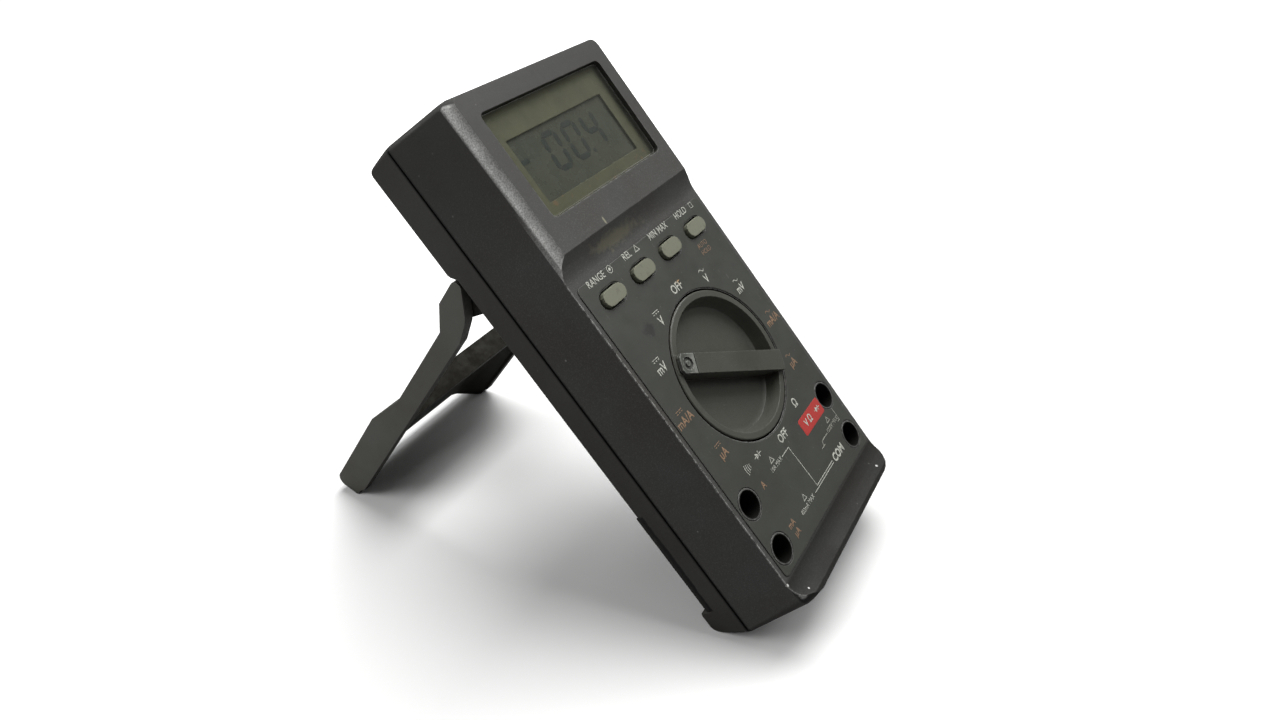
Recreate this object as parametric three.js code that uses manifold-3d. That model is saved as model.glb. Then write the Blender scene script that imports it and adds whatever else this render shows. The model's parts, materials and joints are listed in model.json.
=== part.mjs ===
// Handheld bench multimeter standing on its open tilt bail. Millimetres, +Z up, bench at Z = 0.
// Inside the meter: x runs across the width, y up the length from the bottom end, z out of the face,
// and z = 0 is the upper back.
import * as THREE from 'three';
import { mergeVertices } from 'three/addons/utils/BufferGeometryUtils.js';
import Module from 'manifold-3d';

const wasm = await Module();
wasm.setup();

// ---- Driving dimensions ----
const fitGap = 0.3; // between neighbouring pieces
const beyond = 60; // reach of a cutting solid past the case

// Case
const caseLength = 203.2;
const caseHalfWidth = 47.6; // at the parting line
const partingZ = 15.5;
const faceZ = 39.7; // lower face, with the knob and jacks
const headZ = 44; // display head, and the crest of the bottom lip
const faceHalfWidth = 43.2;
const endDraft = 0.075; // slope of both ends of the front shell
const wall = 2.6;
const sealThickness = 0.8; // the groove between the two shells
const partingCornerRadius = 2;
const headCornerRadius = 3;
const lipCornerRadius = 6;
const headShoulderZ = 41.6; // where the bevel along the head's sides starts
const headShoulderHalfWidth = 42.2;
const headHalfWidth = 39.8;
const faceLow = 13; // the flat lower face runs from here
const faceHigh = 134; // to here
const lipCrest = 4.6;
const headEdge = 143;
const backHalfWidth = 46.9;
const recessZ = 4; // recessed back plane below the bulge
const recessLow = 17.5;
const recessHigh = 157;
const heelZ = -1.6; // the heel stands a little behind the upper back
const heelHigh = 9.5; // it ramps down to the recess from here
const heelRadius = 5;
const heelSlant = THREE.MathUtils.degToRad(11);
const topSlant = THREE.MathUtils.degToRad(3);
const topRadius = 4;
const sealInset = 0.7; // the seal sits this far inside the parting groove
const sealWidth = 1.4;

// Display
const windowHalfWidth = 33.6;
const windowLow = 153.9;
const windowHigh = 192.8;
const windowMid = (windowLow + windowHigh) / 2;
const windowRecess = 1.6;
const lensThickness = 1.5;
const headWall = 2.8;
const viewHalfWidth = 27.4; // the mask's opening
const viewLow = 159;
const viewHigh = 182.4;
const maskThickness = 0.7;
const lcdThickness = 2.2;

// Knob
const knobY = 78.1;
const knobRadius = 28.4;
const knobWellRadius = 29;
const knobDishDepth = 5.5;
const knobFloor = 1.9; // thickness under the dish
const knobRim = 2.6; // width of the flat ring around the dish
const knobRimRise = 0.3; // of that ring, above the case
const knobBarHalfWidth = 4;
const knobBarRise = 2.2; // above the face
const knobPointer = THREE.MathUtils.degToRad(150); // from +x, towards +y
const shaftRadius = 3.8;
const knobPositions = 12;
const pointerInner = 19.6; // the cap on the bar's end starts here
const pointerThickness = 1.4;
const rivetRadius = 1; // raised in the middle of the cap's round groove
const rivetGroove = 2.3; // outer radius of that groove
const rivetDepth = 0.6;
const shaftSealRadius = 6.4;
const wellFloorZ = faceZ - knobDishDepth - knobFloor - 0.5;
const wellWall = 1.6;
const sealSeat = 1.1; // depth of the shaft seal's seat in the well's floor
const rotorRadius = 21;
const rotorThickness = 1.2;
const notchRadius = 1.8;
const contactInner = 11;
const contactOuter = 16;
const contactThickness = 0.4;
const detentHalfLength = 11;
const detentThickness = 0.8;

// Buttons
const buttonY = 123.3;
const buttonPitch = 19.17;
const buttonLength = 12;
const buttonWidth = 5.6;
const buttonRise = 1.6;
const buttonGap = 0.55; // all round, in the case
const buttonFlange = 1; // width and thickness of the flange under the case
const keypadHalfDepth = 5.5;

// Jacks
const jackX = 34.8;
const jackHighY = 40.8;
const jackLowY = 21.7;
const jackHoleRadius = 4.7;
const jackTubeWall = 1.5; // of the case's tube down to the board
const jackCollar = 0.8; // width of the raised ring around the hole
const jackSleeveDepth = 9.5; // from the face down to the sleeve's mouth
const sleeveOuter = 3.3;
const sleeveInner = 2.1;
const overlayLift = 0.1;
const overlayThickness = 0.25;

// Boards
const mainBoardZ = 26;
const boardThickness = 1.6;
const displayBoardZ = 30.6;
const mainBoardSize = { halfWidth: 40, low: 17, high: 124 };
const displayBoardSize = { halfWidth: 36, low: 114, high: 197 };
const shieldSize = { halfWidth: 38, low: 84, high: 112 };
const shieldDrop = 2.6; // below the main board
const linkSize = { halfWidth: 12, low: 115.5, high: 120 }; // between the two boards
const rotorZ = mainBoardZ + boardThickness + 1; // underside of the switch rotor
const beeperSpot = { x: 20, y: 110 };
const beeperPlateRadius = 10;
const beeperDiscRadius = 7;

// Battery compartment in the back
const doorHalfWidth = 32;
const doorLow = 18;
const doorHigh = 81;
const doorOpenHalfWidth = 28.5;
const doorOpenLow = 25;
const doorOpenHigh = 75;
const doorLedgeZ = 6.8;
const batterySize = new THREE.Vector3(26.5, 48.5, 17.5);
const batteryRound = 2;
const terminalPitch = 12.7;
const terminalRadius = 2.8;
const terminalRise = 2.4;
const snapHalfWidth = 12;
const snapThickness = 3.5;
const fuseX = 21.4;
const fuseZ = 17;
const fuseCap = 8; // length of the metal cap on each end
const clipThickness = 0.7;
const clipWidth = 5;
const fuses = [ // name, x, radius, length
  ['amps', -fuseX, 5.1, 38],
  ['milliamps', fuseX, 3.2, 32],
];

// Tilt bail; its own outline is drawn in (u, v): u from the pivot along the legs, v outwards
const pivotY = 149.3;
const pivotZ = -7.8;
const bailOpen = THREE.MathUtils.degToRad(77.2); // from folded flat against the back
const bailHalfWidth = 46.5;
const bailPlate = 4.2;
const bailInner = -7.2;
const bailLegOuter = 1.2;
const bailFootOuter = 6.7;
const bailElbow = 14.5; // the legs start here
const bailFlare = 65; // and widen to the feet from here
const bailSkin = 3;
const bailWebStart = 86.5;
const bailWebInner = -4.2;
const bailWebThickness = 3;
const bailGusset = 13; // reach of the corner between a foot and the skin
const bailReach = 146.7;
const footSlant = 2.6; // the inner corner of a foot is this much shorter
const footRound = 4;
const footLift = 1.3; // the feet's inner edges are cut back this much, to fold over the heel
const footLiftStart = 137.5;
const footTrim = 0.5; // cut flat by the bench plane
const heelTrim = 0.15;
const earOuter = 6.8;
const earShoulder = 3.2; // the elbow starts here
const earTip = 11.2; // past the pivot
const earTipRadius = 2.5;
const earNeck = [[-1.3, -3.8], [1.5, -5], [11, bailInner]]; // from the ear in to the leg's inner edge
const pinRadius = 2;
const pinBlind = 1.5; // solid plate left outside each pin
const lugInner = 36.4;
const lugOuter = 41.6;
const lugRadius = 4.6;

// Fasteners
const screwRadius = 1.5;
const screwHeadRadius = 2.8;
const bossRadius = 3.6;
const screwX = 37;
const screwLowY = 10.5;
const screwHighY = 189;
const screwSeatZ = 7;
const screwTipZ = 28;
const slotWidth = 0.7; // of the cross slots
const slotReach = 1.7;
const slotDepth = 1.2;
const doorScrewYs = [22.2, 77.5];
const doorScrewTipZ = 8.2;

// Skid pads, on the edge between the sides and the recessed back
const skidPadInner = 43.2;
const skidPadLow = 11.5;
const skidPadHigh = 55;
const skidPadRise = 1.2;
const skidPadSink = 0.9;

// ---- Materials ----
function material(color, roughness, metalness = 0) {
  return new THREE.MeshStandardMaterial({ color, roughness, metalness });
}

const look = {
  frontPlastic: material(0x46463f, 0.6),
  rearPlastic: material(0x3c3c38, 0.65),
  bailPlastic: material(0x55554f, 0.6),
  overlay: material(0x42443e, 0.5),
  knobPlastic: material(0x40423b, 0.6),
  pointer: material(0x66665c, 0.5),
  button: material(0x7d7d69, 0.7),
  rubber: material(0x161615, 0.9),
  lens: material(0x8f9490, 0.1),
  mask: material(0x6f6b4f, 0.6),
  lcd: material(0x5c5f58, 0.25),
  board: material(0x2f5a3a, 0.6),
  brass: material(0xb59a52, 0.35, 1),
  steel: material(0x9a9c9e, 0.35, 1),
  ceramic: material(0xd9d4c4, 0.5),
  batteryJacket: material(0x2a2a2c, 0.45),
};

// ---- Geometry helpers ----
function toSolid(geometry) {
  const bare = new THREE.BufferGeometry();
  bare.setAttribute('position', geometry.getAttribute('position').clone());
  if (geometry.index) bare.setIndex(geometry.index);
  const merged = mergeVertices(bare, 1e-4);
  const corners = merged.index.array;
  const kept = [];
  for (let i = 0; i < corners.length; i += 3) {
    const [a, b, c] = [corners[i], corners[i + 1], corners[i + 2]];
    if (a !== b && b !== c && c !== a) kept.push(a, b, c);
  }
  const mesh = new wasm.Mesh({
    numProp: 3,
    vertProperties: new Float32Array(merged.getAttribute('position').array),
    triVerts: new Uint32Array(kept),
  });
  return new wasm.Manifold(mesh);
}

function toGeometry(solid) {
  const mesh = solid.getMesh();
  const geometry = new THREE.BufferGeometry();
  geometry.setAttribute('position', new THREE.BufferAttribute(mesh.vertProperties, 3));
  geometry.setIndex(new THREE.BufferAttribute(mesh.triVerts, 1));
  geometry.computeVertexNormals();
  return geometry;
}

function joined(...solids) {
  return solids.reduce((sum, solid) => sum.add(solid));
}

function arc(x, y, radius, from, to, steps) {
  const points = [];
  for (let i = 0; i <= steps; i += 1) {
    const angle = THREE.MathUtils.degToRad(from + ((to - from) * i) / steps);
    points.push(new THREE.Vector2(x + radius * Math.cos(angle), y + radius * Math.sin(angle)));
  }
  return points;
}

// A rectangle with its own radius at each end, anticlockwise.
function roundedOutline(halfWidth, low, high, lowRadius, highRadius, steps = 4) {
  return [
    ...arc(halfWidth - highRadius, high - highRadius, highRadius, 0, 90, steps),
    ...arc(highRadius - halfWidth, high - highRadius, highRadius, 90, 180, steps),
    ...arc(lowRadius - halfWidth, low + lowRadius, lowRadius, 180, 270, steps),
    ...arc(halfWidth - lowRadius, low + lowRadius, lowRadius, 270, 360, steps),
  ];
}

// A closed body through outlines of equal point count, given as [z, points] from low to high.
function loft(sections) {
  const count = sections[0][1].length;
  const positions = sections.flatMap(([z, points]) => points.flatMap((p) => [p.x, p.y, z]));
  const index = [];
  for (let level = 0; level + 1 < sections.length; level += 1) {
    for (let i = 0; i < count; i += 1) {
      const a = level * count + i;
      const b = level * count + ((i + 1) % count);
      index.push(a, b, b + count, a, b + count, a + count);
    }
  }
  const cap = THREE.ShapeUtils.triangulateShape(sections[0][1], []);
  const top = (sections.length - 1) * count;
  for (const [a, b, c] of cap) {
    index.push(c, b, a, a + top, b + top, c + top);
  }
  const geometry = new THREE.BufferGeometry();
  geometry.setAttribute('position', new THREE.Float32BufferAttribute(positions, 3));
  geometry.setIndex(index);
  return toSolid(geometry);
}

// An (x, y) outline raised from z0 to z1.
function prism(points, z0, z1) {
  const geometry = new THREE.ExtrudeGeometry(new THREE.Shape(points), {
    depth: z1 - z0,
    bevelEnabled: false,
  });
  geometry.translate(0, 0, z0);
  return toSolid(geometry);
}

// A (y, z) outline carried across the width from x0 to x1.
function sideSlab(points, x0, x1) {
  const geometry = new THREE.ExtrudeGeometry(new THREE.Shape(points), {
    depth: x1 - x0,
    bevelEnabled: false,
  });
  const carry = new THREE.Matrix4().makeBasis(
    new THREE.Vector3(0, 1, 0),
    new THREE.Vector3(0, 0, 1),
    new THREE.Vector3(1, 0, 0),
  );
  geometry.applyMatrix4(carry);
  geometry.translate(x0, 0, 0);
  return toSolid(geometry);
}

function block(x0, x1, y0, y1, z0, z1) {
  const geometry = new THREE.BoxGeometry(x1 - x0, y1 - y0, z1 - z0);
  geometry.translate((x0 + x1) / 2, (y0 + y1) / 2, (z0 + z1) / 2);
  return toSolid(geometry);
}

// A vertical cylinder at (x, y).
function post(x, y, radius, z0, z1, sides = 24) {
  const geometry = new THREE.CylinderGeometry(radius, radius, z1 - z0, sides);
  geometry.rotateX(Math.PI / 2);
  geometry.translate(x, y, (z0 + z1) / 2);
  return toSolid(geometry);
}

// A cylinder along x, through (y, z).
function crossPost(y, z, radius, x0, x1, sides = 20) {
  const geometry = new THREE.CylinderGeometry(radius, radius, x1 - x0, sides);
  geometry.rotateZ(Math.PI / 2);
  geometry.translate((x0 + x1) / 2, y, z);
  return toSolid(geometry);
}

// A cylinder along y, through (x, z).
function lengthPost(x, z, radius, y0, y1, sides = 20) {
  const geometry = new THREE.CylinderGeometry(radius, radius, y1 - y0, sides);
  geometry.translate(x, (y0 + y1) / 2, z);
  return toSolid(geometry);
}

// A body of revolution about z at (x, y), from [radius, z] pairs.
function turned(x, y, profile, sides = 24) {
  const points = profile.map(([radius, z]) => new THREE.Vector2(radius, z));
  const geometry = new THREE.LatheGeometry(points, sides);
  geometry.rotateX(Math.PI / 2);
  geometry.translate(x, y, 0);
  return toSolid(geometry);
}

// A ring of rectangular section, as a closed profile.
function ring(x, y, inner, outer, z0, z1, sides = 24) {
  return turned(x, y, [[inner, z0], [outer, z0], [outer, z1], [inner, z1], [inner, z0]], sides);
}

function pill(x, y, length, width, z0, z1) {
  const radius = width / 2;
  const reach = length / 2 - radius;
  const outline = [...arc(x + reach, y, radius, -90, 90, 6), ...arc(x - reach, y, radius, 90, 270, 6)];
  return prism(outline, z0, z1);
}

function place(parent, name, solid, surface) {
  const mesh = new THREE.Mesh(toGeometry(solid), surface);
  mesh.name = name;
  parent.add(mesh);
  return mesh;
}

// ---- Frames ----
// Folded, the bail's legs run down the back (-y) and its outside faces away from it (-z).
const legDirection = [-Math.cos(bailOpen), -Math.sin(bailOpen)];
const outDirection = [Math.sin(bailOpen), -Math.cos(bailOpen)];

// A point of the open bail, from (u, v) to the meter's (y, z).
function openPoint(u, v) {
  return [
    pivotY + u * legDirection[0] + v * outDirection[0],
    pivotZ + u * legDirection[1] + v * outDirection[1],
  ];
}

// Centre of the heel's round corner: tangent to the heel plane and to the slanted bottom.
const heelCentreZ = heelZ + heelRadius;
const heelCentreY =
  (heelRadius + (partingZ - heelCentreZ) * Math.sin(heelSlant)) / Math.cos(heelSlant);

// The bench plane touches the heel's round corner and the inner corners of the bail's feet.
const footCorner = openPoint(bailReach - footSlant - footTrim, bailInner + footLift);
const toFoot = [footCorner[0] - heelCentreY, footCorner[1] - heelCentreZ];
const footDistance = Math.hypot(toFoot[0], toFoot[1]);
const downAngle = Math.atan2(toFoot[1], toFoot[0])
  - Math.acos((heelRadius - heelTrim) / footDistance);
const standTilt = -Math.PI / 2 - downAngle; // of the length, above the horizontal

const meter = new THREE.Group();
meter.rotation.x = standTilt;

// Everything under the bench plane, in the meter's frame.
function belowBench() {
  const size = 400;
  const geometry = new THREE.BoxGeometry(size, size, size);
  geometry.translate(0, 0, -size / 2);
  geometry.rotateX(-standTilt);
  geometry.translate(0, footCorner[0], footCorner[1]);
  return toSolid(geometry);
}

// ---- Front case ----
const frontLow = partingZ + sealThickness / 2;
const rearHigh = partingZ - sealThickness / 2;

function frontSection(z, halfWidth, inset, lowRadius, highRadius) {
  const drawn = (z - partingZ) * endDraft + inset;
  return [z, roundedOutline(halfWidth - inset, drawn, caseLength - drawn, lowRadius, highRadius)];
}

// A hollow ramp from the flat at yFlat up to the given rise at yCrest, as (y, z) points.
function hollowRamp(yFlat, yCrest, rise, steps = 5) {
  const points = [];
  for (let i = 0; i <= steps; i += 1) {
    const s = i / steps;
    points.push(new THREE.Vector2(yFlat + (yCrest - yFlat) * s, faceZ + rise * s * s));
  }
  return points;
}

function frontOutside() {
  const bevelDrop = 0.6; // the ends draw in a little more over the bevel
  return loft([
    frontSection(frontLow, caseHalfWidth, 0, partingCornerRadius, partingCornerRadius),
    frontSection(faceZ, faceHalfWidth, 0, lipCornerRadius - 1, headCornerRadius - 1),
    frontSection(headShoulderZ, headShoulderHalfWidth, 0, lipCornerRadius, headCornerRadius - 0.5),
    frontSection(headZ, headHalfWidth + bevelDrop, bevelDrop, lipCornerRadius, headCornerRadius),
  ]);
}

function aboveLowerFace() {
  const rise = headZ - faceZ;
  const outline = [
    ...hollowRamp(faceLow, lipCrest, rise).reverse(),
    ...hollowRamp(faceHigh, headEdge, rise),
    new THREE.Vector2(headEdge, headZ + beyond),
    new THREE.Vector2(lipCrest, headZ + beyond),
  ];
  return sideSlab(outline, -beyond, beyond);
}

function frontHollow() {
  const ceiling = faceZ - wall;
  const main = loft([
    frontSection(frontLow - 1, caseHalfWidth, wall, 1, 1),
    frontSection(ceiling, faceHalfWidth, wall, 3, 2),
  ]);
  const side = windowHalfWidth + 4;
  const head = block(-side, side, headEdge + 4, caseLength - 6, ceiling - 1, headZ - headWall);
  return joined(main, head);
}

const jacks = [
  ['jack_amps', -jackX, jackHighY],
  ['jack_milliamps', -jackX, jackLowY],
  ['jack_volts', jackX, jackHighY],
  ['jack_common', jackX, jackLowY],
];
const screws = [
  ['case_screw_1', -screwX, screwLowY],
  ['case_screw_2', screwX, screwLowY],
  ['case_screw_3', -screwX, screwHighY],
  ['case_screw_4', screwX, screwHighY],
];
const buttonXs = [-1.5, -0.5, 0.5, 1.5].map((step) => step * buttonPitch);

function frontCase() {
  const ceiling = faceZ - wall;
  const intoWall = ceiling + 1;
  const added = [post(0, knobY, knobWellRadius + wellWall, wellFloorZ - wellWall, intoWall, 48)];
  for (const [, x, y] of jacks) {
    added.push(post(x, y, jackHoleRadius + jackTubeWall, mainBoardZ + boardThickness + fitGap, intoWall));
    added.push(post(x, y, jackHoleRadius + jackCollar, intoWall, faceZ + overlayLift + overlayThickness));
  }
  for (const [, x, y] of screws) {
    added.push(post(x, y, bossRadius, frontLow + fitGap, intoWall, 16));
  }
  const cut = [
    post(0, knobY, knobWellRadius, wellFloorZ, headZ + 1, 60),
    post(0, knobY, shaftSealRadius + fitGap, wellFloorZ - sealSeat, headZ, 20),
    post(0, knobY, shaftRadius + 2 * fitGap, 0, headZ, 20),
    prism(
      roundedOutline(windowHalfWidth, windowLow, windowHigh, 2, 2, 3),
      ceiling, headZ + 1,
    ),
  ];
  for (const [, x, y] of jacks) cut.push(post(x, y, jackHoleRadius, 0, headZ));
  for (const [, x, y] of screws) cut.push(post(x, y, screwRadius + fitGap, 0, screwTipZ + 1, 12));
  for (const x of buttonXs) {
    const gap = 2 * buttonGap;
    cut.push(pill(x, buttonY, buttonLength + gap, buttonWidth + gap, ceiling - 1, headZ));
  }
  const shell = frontOutside().subtract(aboveLowerFace()).subtract(frontHollow());
  return joined(shell, ...added).subtract(joined(...cut));
}

// ---- Rear case ----
function rearSideOutline() {
  const slant = THREE.MathUtils.radToDeg(heelSlant);
  const topLean = Math.tan(topSlant);
  return [
    new THREE.Vector2(0, rearHigh),
    ...arc(heelCentreY, heelCentreZ, heelRadius, 180 + slant, 270, 6),
    new THREE.Vector2(heelHigh, heelZ),
    new THREE.Vector2(recessLow, recessZ),
    new THREE.Vector2(recessHigh, recessZ),
    new THREE.Vector2(recessHigh + recessZ, 0),
    ...arc(caseLength - topLean * partingZ - topRadius, topRadius, topRadius, -90, 0, 4),
    new THREE.Vector2(caseLength, rearHigh),
  ];
}

function rearSection(z, halfWidth) {
  return [z, roundedOutline(halfWidth, 0, caseLength, partingCornerRadius, partingCornerRadius)];
}

// The full outline down to a back plane, with its long edges rounded there.
function rearBlock(backZ) {
  const edge = 1.6;
  return loft([
    rearSection(backZ, backHalfWidth - edge),
    rearSection(backZ + 0.3 * edge, backHalfWidth - 0.3 * edge),
    rearSection(backZ + edge, backHalfWidth),
    rearSection(rearHigh, caseHalfWidth),
  ]);
}

function rearOutside() {
  const heel = rearBlock(heelZ).intersect(block(-beyond, beyond, -1, recessLow, heelZ, partingZ));
  return joined(rearBlock(0), heel).intersect(sideSlab(rearSideOutline(), -beyond, beyond));
}

function rearHollow() {
  const floor = recessZ + wall;
  const low = heelCentreY;
  const high = caseLength - wall - Math.tan(topSlant) * partingZ;
  const half = backHalfWidth - wall;
  return joined(
    prism(roundedOutline(half, low, high, 4, 3), floor, partingZ + 1),
    prism(roundedOutline(half, wall * 2, high, 4, 3), partingZ - 5, partingZ + 1),
  );
}

function doorOutline(grow) {
  return roundedOutline(doorHalfWidth + grow, doorLow - grow, doorHigh + grow, 3, 3, 3);
}

function hingeLug(side) {
  const root = recessZ + 1;
  const outline = [
    new THREE.Vector2(pivotY + lugRadius + 3, root),
    new THREE.Vector2(pivotY - lugRadius - 3, root),
    ...arc(pivotY, pivotZ, lugRadius, 190, 350, 8),
  ];
  const [x0, x1] = side < 0 ? [-lugOuter, -lugInner] : [lugInner, lugOuter];
  return sideSlab(outline, x0, x1);
}

function rearCase() {
  const added = [hingeLug(-1), hingeLug(1)];
  const frame = prism(
    roundedOutline(doorHalfWidth + wall, doorLow - wall, doorHigh + wall, 4, 4, 3),
    recessZ + 1, doorLedgeZ + 2,
  );
  added.push(frame);
  for (const [, x, y] of screws) added.push(post(x, y, bossRadius + 1, recessZ, rearHigh - fitGap, 16));
  for (const y of doorScrewYs) added.push(post(0, y, bossRadius, recessZ + 1, doorScrewTipZ + 1.5, 16));
  const cut = [
    belowBench(),
    prism(doorOutline(fitGap), -1, doorLedgeZ),
    prism(
      roundedOutline(doorOpenHalfWidth, doorOpenLow, doorOpenHigh, 2, 2, 3),
      0, partingZ + 10,
    ),
    crossPost(pivotY, pivotZ, pinRadius + fitGap, -beyond, beyond),
  ];
  for (const [, x, y] of screws) {
    cut.push(post(x, y, screwRadius + fitGap, heelZ - 1, partingZ + 1, 12));
    cut.push(post(x, y, screwHeadRadius + fitGap, heelZ - 1, screwSeatZ, 16));
  }
  for (const y of doorScrewYs) cut.push(post(0, y, screwRadius + fitGap, 0, doorScrewTipZ + 1, 12));
  for (const side of [-1, 1]) cut.push(skidPadBlock(side, 0));
  return joined(rearOutside().subtract(rearHollow()), ...added).subtract(joined(...cut));
}

// A strip let into the edge between the side and the recessed back.
function skidPadBlock(side, shrink) {
  const inner = skidPadInner + shrink;
  const outer = backHalfWidth + (shrink ? 0 : beyond);
  const [x0, x1] = side < 0 ? [-outer, -inner] : [inner, outer];
  const low = skidPadLow + shrink;
  const high = skidPadHigh - shrink;
  const back = shrink ? recessZ - skidPadRise : heelZ - 1;
  return block(x0, x1, low, high, back, recessZ + skidPadSink - shrink);
}

function caseSeal() {
  const z0 = rearHigh + fitGap / 2;
  const z1 = frontLow - fitGap / 2;
  const outer = roundedOutline(caseHalfWidth - sealInset, sealInset, caseLength - sealInset, 1.5, 1.5);
  const inset = sealInset + sealWidth;
  const inner = roundedOutline(caseHalfWidth - inset, inset, caseLength - inset, 1, 1);
  return prism(outer, z0, z1).subtract(prism(inner, 0, partingZ * 2));
}

// ---- Display ----
function windowLens() {
  const outline = roundedOutline(
    windowHalfWidth - fitGap, windowLow + fitGap, windowHigh - fitGap, 1.7, 1.7, 3,
  );
  const top = headZ - windowRecess;
  return prism(outline, top - lensThickness, top);
}

const maskZ = headZ - windowRecess - lensThickness - fitGap; // its front
const lcdZ = maskZ - maskThickness - fitGap;

function displayMask() {
  const margin = 2.4;
  const outline = roundedOutline(
    windowHalfWidth + margin, windowLow - margin, windowHigh + margin, 2, 2, 3,
  );
  const opening = block(-viewHalfWidth, viewHalfWidth, viewLow, viewHigh, 0, headZ);
  return prism(outline, maskZ - maskThickness, maskZ).subtract(opening);
}

function lcdPanel() {
  const margin = 3;
  return block(
    -viewHalfWidth - margin, viewHalfWidth + margin, viewLow - margin, viewHigh + margin,
    lcdZ - lcdThickness, lcdZ,
  );
}

function lcdReflector() {
  const z1 = lcdZ - lcdThickness - fitGap;
  return block(-viewHalfWidth, viewHalfWidth, viewLow, viewHigh, z1 - 0.4, z1);
}

function zebraStrip(y) {
  const z0 = displayBoardZ + boardThickness + fitGap;
  const z1 = lcdZ - lcdThickness - fitGap;
  return block(-viewHalfWidth, viewHalfWidth, y - 1, y + 1, z0, z1);
}

// ---- Knob and switch ----
// A point of the grip bar, from (along towards the pointer, across) to the meter's (x, y).
function alongBar([along, across]) {
  return new THREE.Vector2(along, across)
    .rotateAround(new THREE.Vector2(), knobPointer)
    .add(new THREE.Vector2(0, knobY));
}

function knobBody() {
  const underside = faceZ - knobDishDepth - knobFloor;
  const floor = faceZ - knobDishDepth;
  const rimZ = faceZ + knobRimRise;
  const shaftEndZ = rotorZ - fitGap;
  const dish = turned(0, knobY, [
    [0, shaftEndZ],
    [shaftRadius, shaftEndZ],
    [shaftRadius, underside],
    [knobRadius - 1, underside],
    [knobRadius, underside + 1],
    [knobRadius, rimZ - 0.4],
    [knobRadius - 0.4, rimZ],
    [knobRadius - knobRim, rimZ],
    [knobRadius - knobRim - 0.9, faceZ - knobDishDepth * 0.55],
    [knobRadius - knobRim - 2, faceZ - knobDishDepth * 0.9],
    [knobRadius - knobRim - 3.8, floor],
    [0, floor],
  ], 60);
  const barTop = faceZ + knobBarRise;
  const half = knobBarHalfWidth;
  const barEnd = knobRadius - 0.5;
  const barOutline = [[-barEnd, -half], [barEnd, 0.4 - half], [barEnd, half - 0.4], [-barEnd, half]];
  const bar = prism(barOutline.map(alongBar), floor - 1, barTop);
  const seatOutline = [[pointerInner, -half], [barEnd, -half], [barEnd, half], [pointerInner, half]];
  const capSeat = prism(seatOutline.map(alongBar), barTop - pointerThickness - fitGap, barTop + 1);
  const roundEnds = post(0, knobY, barEnd, 0, headZ, 60);
  return joined(dish, bar.intersect(roundEnds)).subtract(capSeat);
}

function pointerCap() {
  const barTop = faceZ + knobBarRise;
  const half = knobBarHalfWidth - 0.4;
  const x0 = pointerInner + fitGap;
  const x1 = knobRadius - 1.4;
  const outline = [
    [x0, -half], [x1 - 1.2, -half], [x1, 1.4 - half], [x1, half - 1.4], [x1 - 1.2, half], [x0, half],
  ].map(alongBar);
  const centre = alongBar([(x0 + x1) / 2, 0]);
  const groove = ring(centre.x, centre.y, rivetRadius, rivetGroove, barTop - rivetDepth, barTop + 1);
  return prism(outline, barTop - pointerThickness, barTop).subtract(groove);
}

function knobSeal() {
  const z0 = wellFloorZ - sealSeat + fitGap;
  return ring(0, knobY, shaftRadius + 0.25, shaftSealRadius, z0, wellFloorZ, 20);
}

// A disc with one notch for each switch position, keyed to the knob's shaft.
function switchRotor() {
  const notches = [];
  for (let i = 0; i < knobPositions; i += 1) {
    const angle = (i / knobPositions) * 2 * Math.PI;
    const x = rotorRadius * Math.cos(angle);
    const y = knobY + rotorRadius * Math.sin(angle);
    notches.push(post(x, y, notchRadius, rotorZ - 1, rotorZ + rotorThickness + 1, 12));
  }
  const disc = ring(0, knobY, shaftRadius + fitGap, rotorRadius, rotorZ, rotorZ + rotorThickness, 48);
  return disc.subtract(joined(...notches));
}

function rotorContacts() {
  const z1 = rotorZ - fitGap;
  return ring(0, knobY, contactInner, contactOuter, z1 - contactThickness, z1);
}

// A leaf spring beside the rotor, with a round nose that drops into its notches.
function detentSpring() {
  const noseRadius = notchRadius - fitGap - 0.2;
  const noseX = rotorRadius + 0.5;
  const leafX = noseX + 1;
  const low = knobY - detentHalfLength;
  const high = knobY + detentHalfLength;
  const z1 = rotorZ + rotorThickness;
  const leaf = block(leafX, leafX + detentThickness, low, high, rotorZ, z1);
  const foot = block(leafX, leafX + 4, low - 1, low, rotorZ, z1);
  return joined(leaf, foot, post(noseX, knobY, noseRadius, rotorZ, z1, 12));
}

// ---- Buttons ----
function pushButton(x) {
  const flangeTop = faceZ - wall - fitGap;
  const z0 = flangeTop - buttonFlange;
  const wider = 2 * buttonFlange;
  return joined(
    pill(x, buttonY, buttonLength, buttonWidth, z0, faceZ + buttonRise),
    pill(x, buttonY, buttonLength + wider, buttonWidth + wider, z0, flangeTop),
  );
}

function keypadMat() {
  const z0 = displayBoardZ + boardThickness + fitGap;
  const half = buttonXs[3] + buttonLength / 2 + 2;
  return block(-half, half, buttonY - keypadHalfDepth, buttonY + keypadHalfDepth, z0, z0 + 1.5);
}

function faceOverlay() {
  const edge = 2;
  const half = faceHalfWidth - edge;
  const sheet = prism(
    roundedOutline(half, faceLow + 1, faceHigh - 2, 2, 2, 3),
    faceZ + overlayLift, faceZ + overlayLift + overlayThickness,
  );
  const openings = [post(0, knobY, knobWellRadius + 0.4, 0, headZ, 60)];
  for (const [, x, y] of jacks) openings.push(post(x, y, jackHoleRadius + jackCollar + fitGap, 0, headZ));
  for (const x of buttonXs) {
    openings.push(pill(x, buttonY, buttonLength + 2, buttonWidth + 2, 0, headZ));
  }
  return sheet.subtract(joined(...openings));
}

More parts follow.
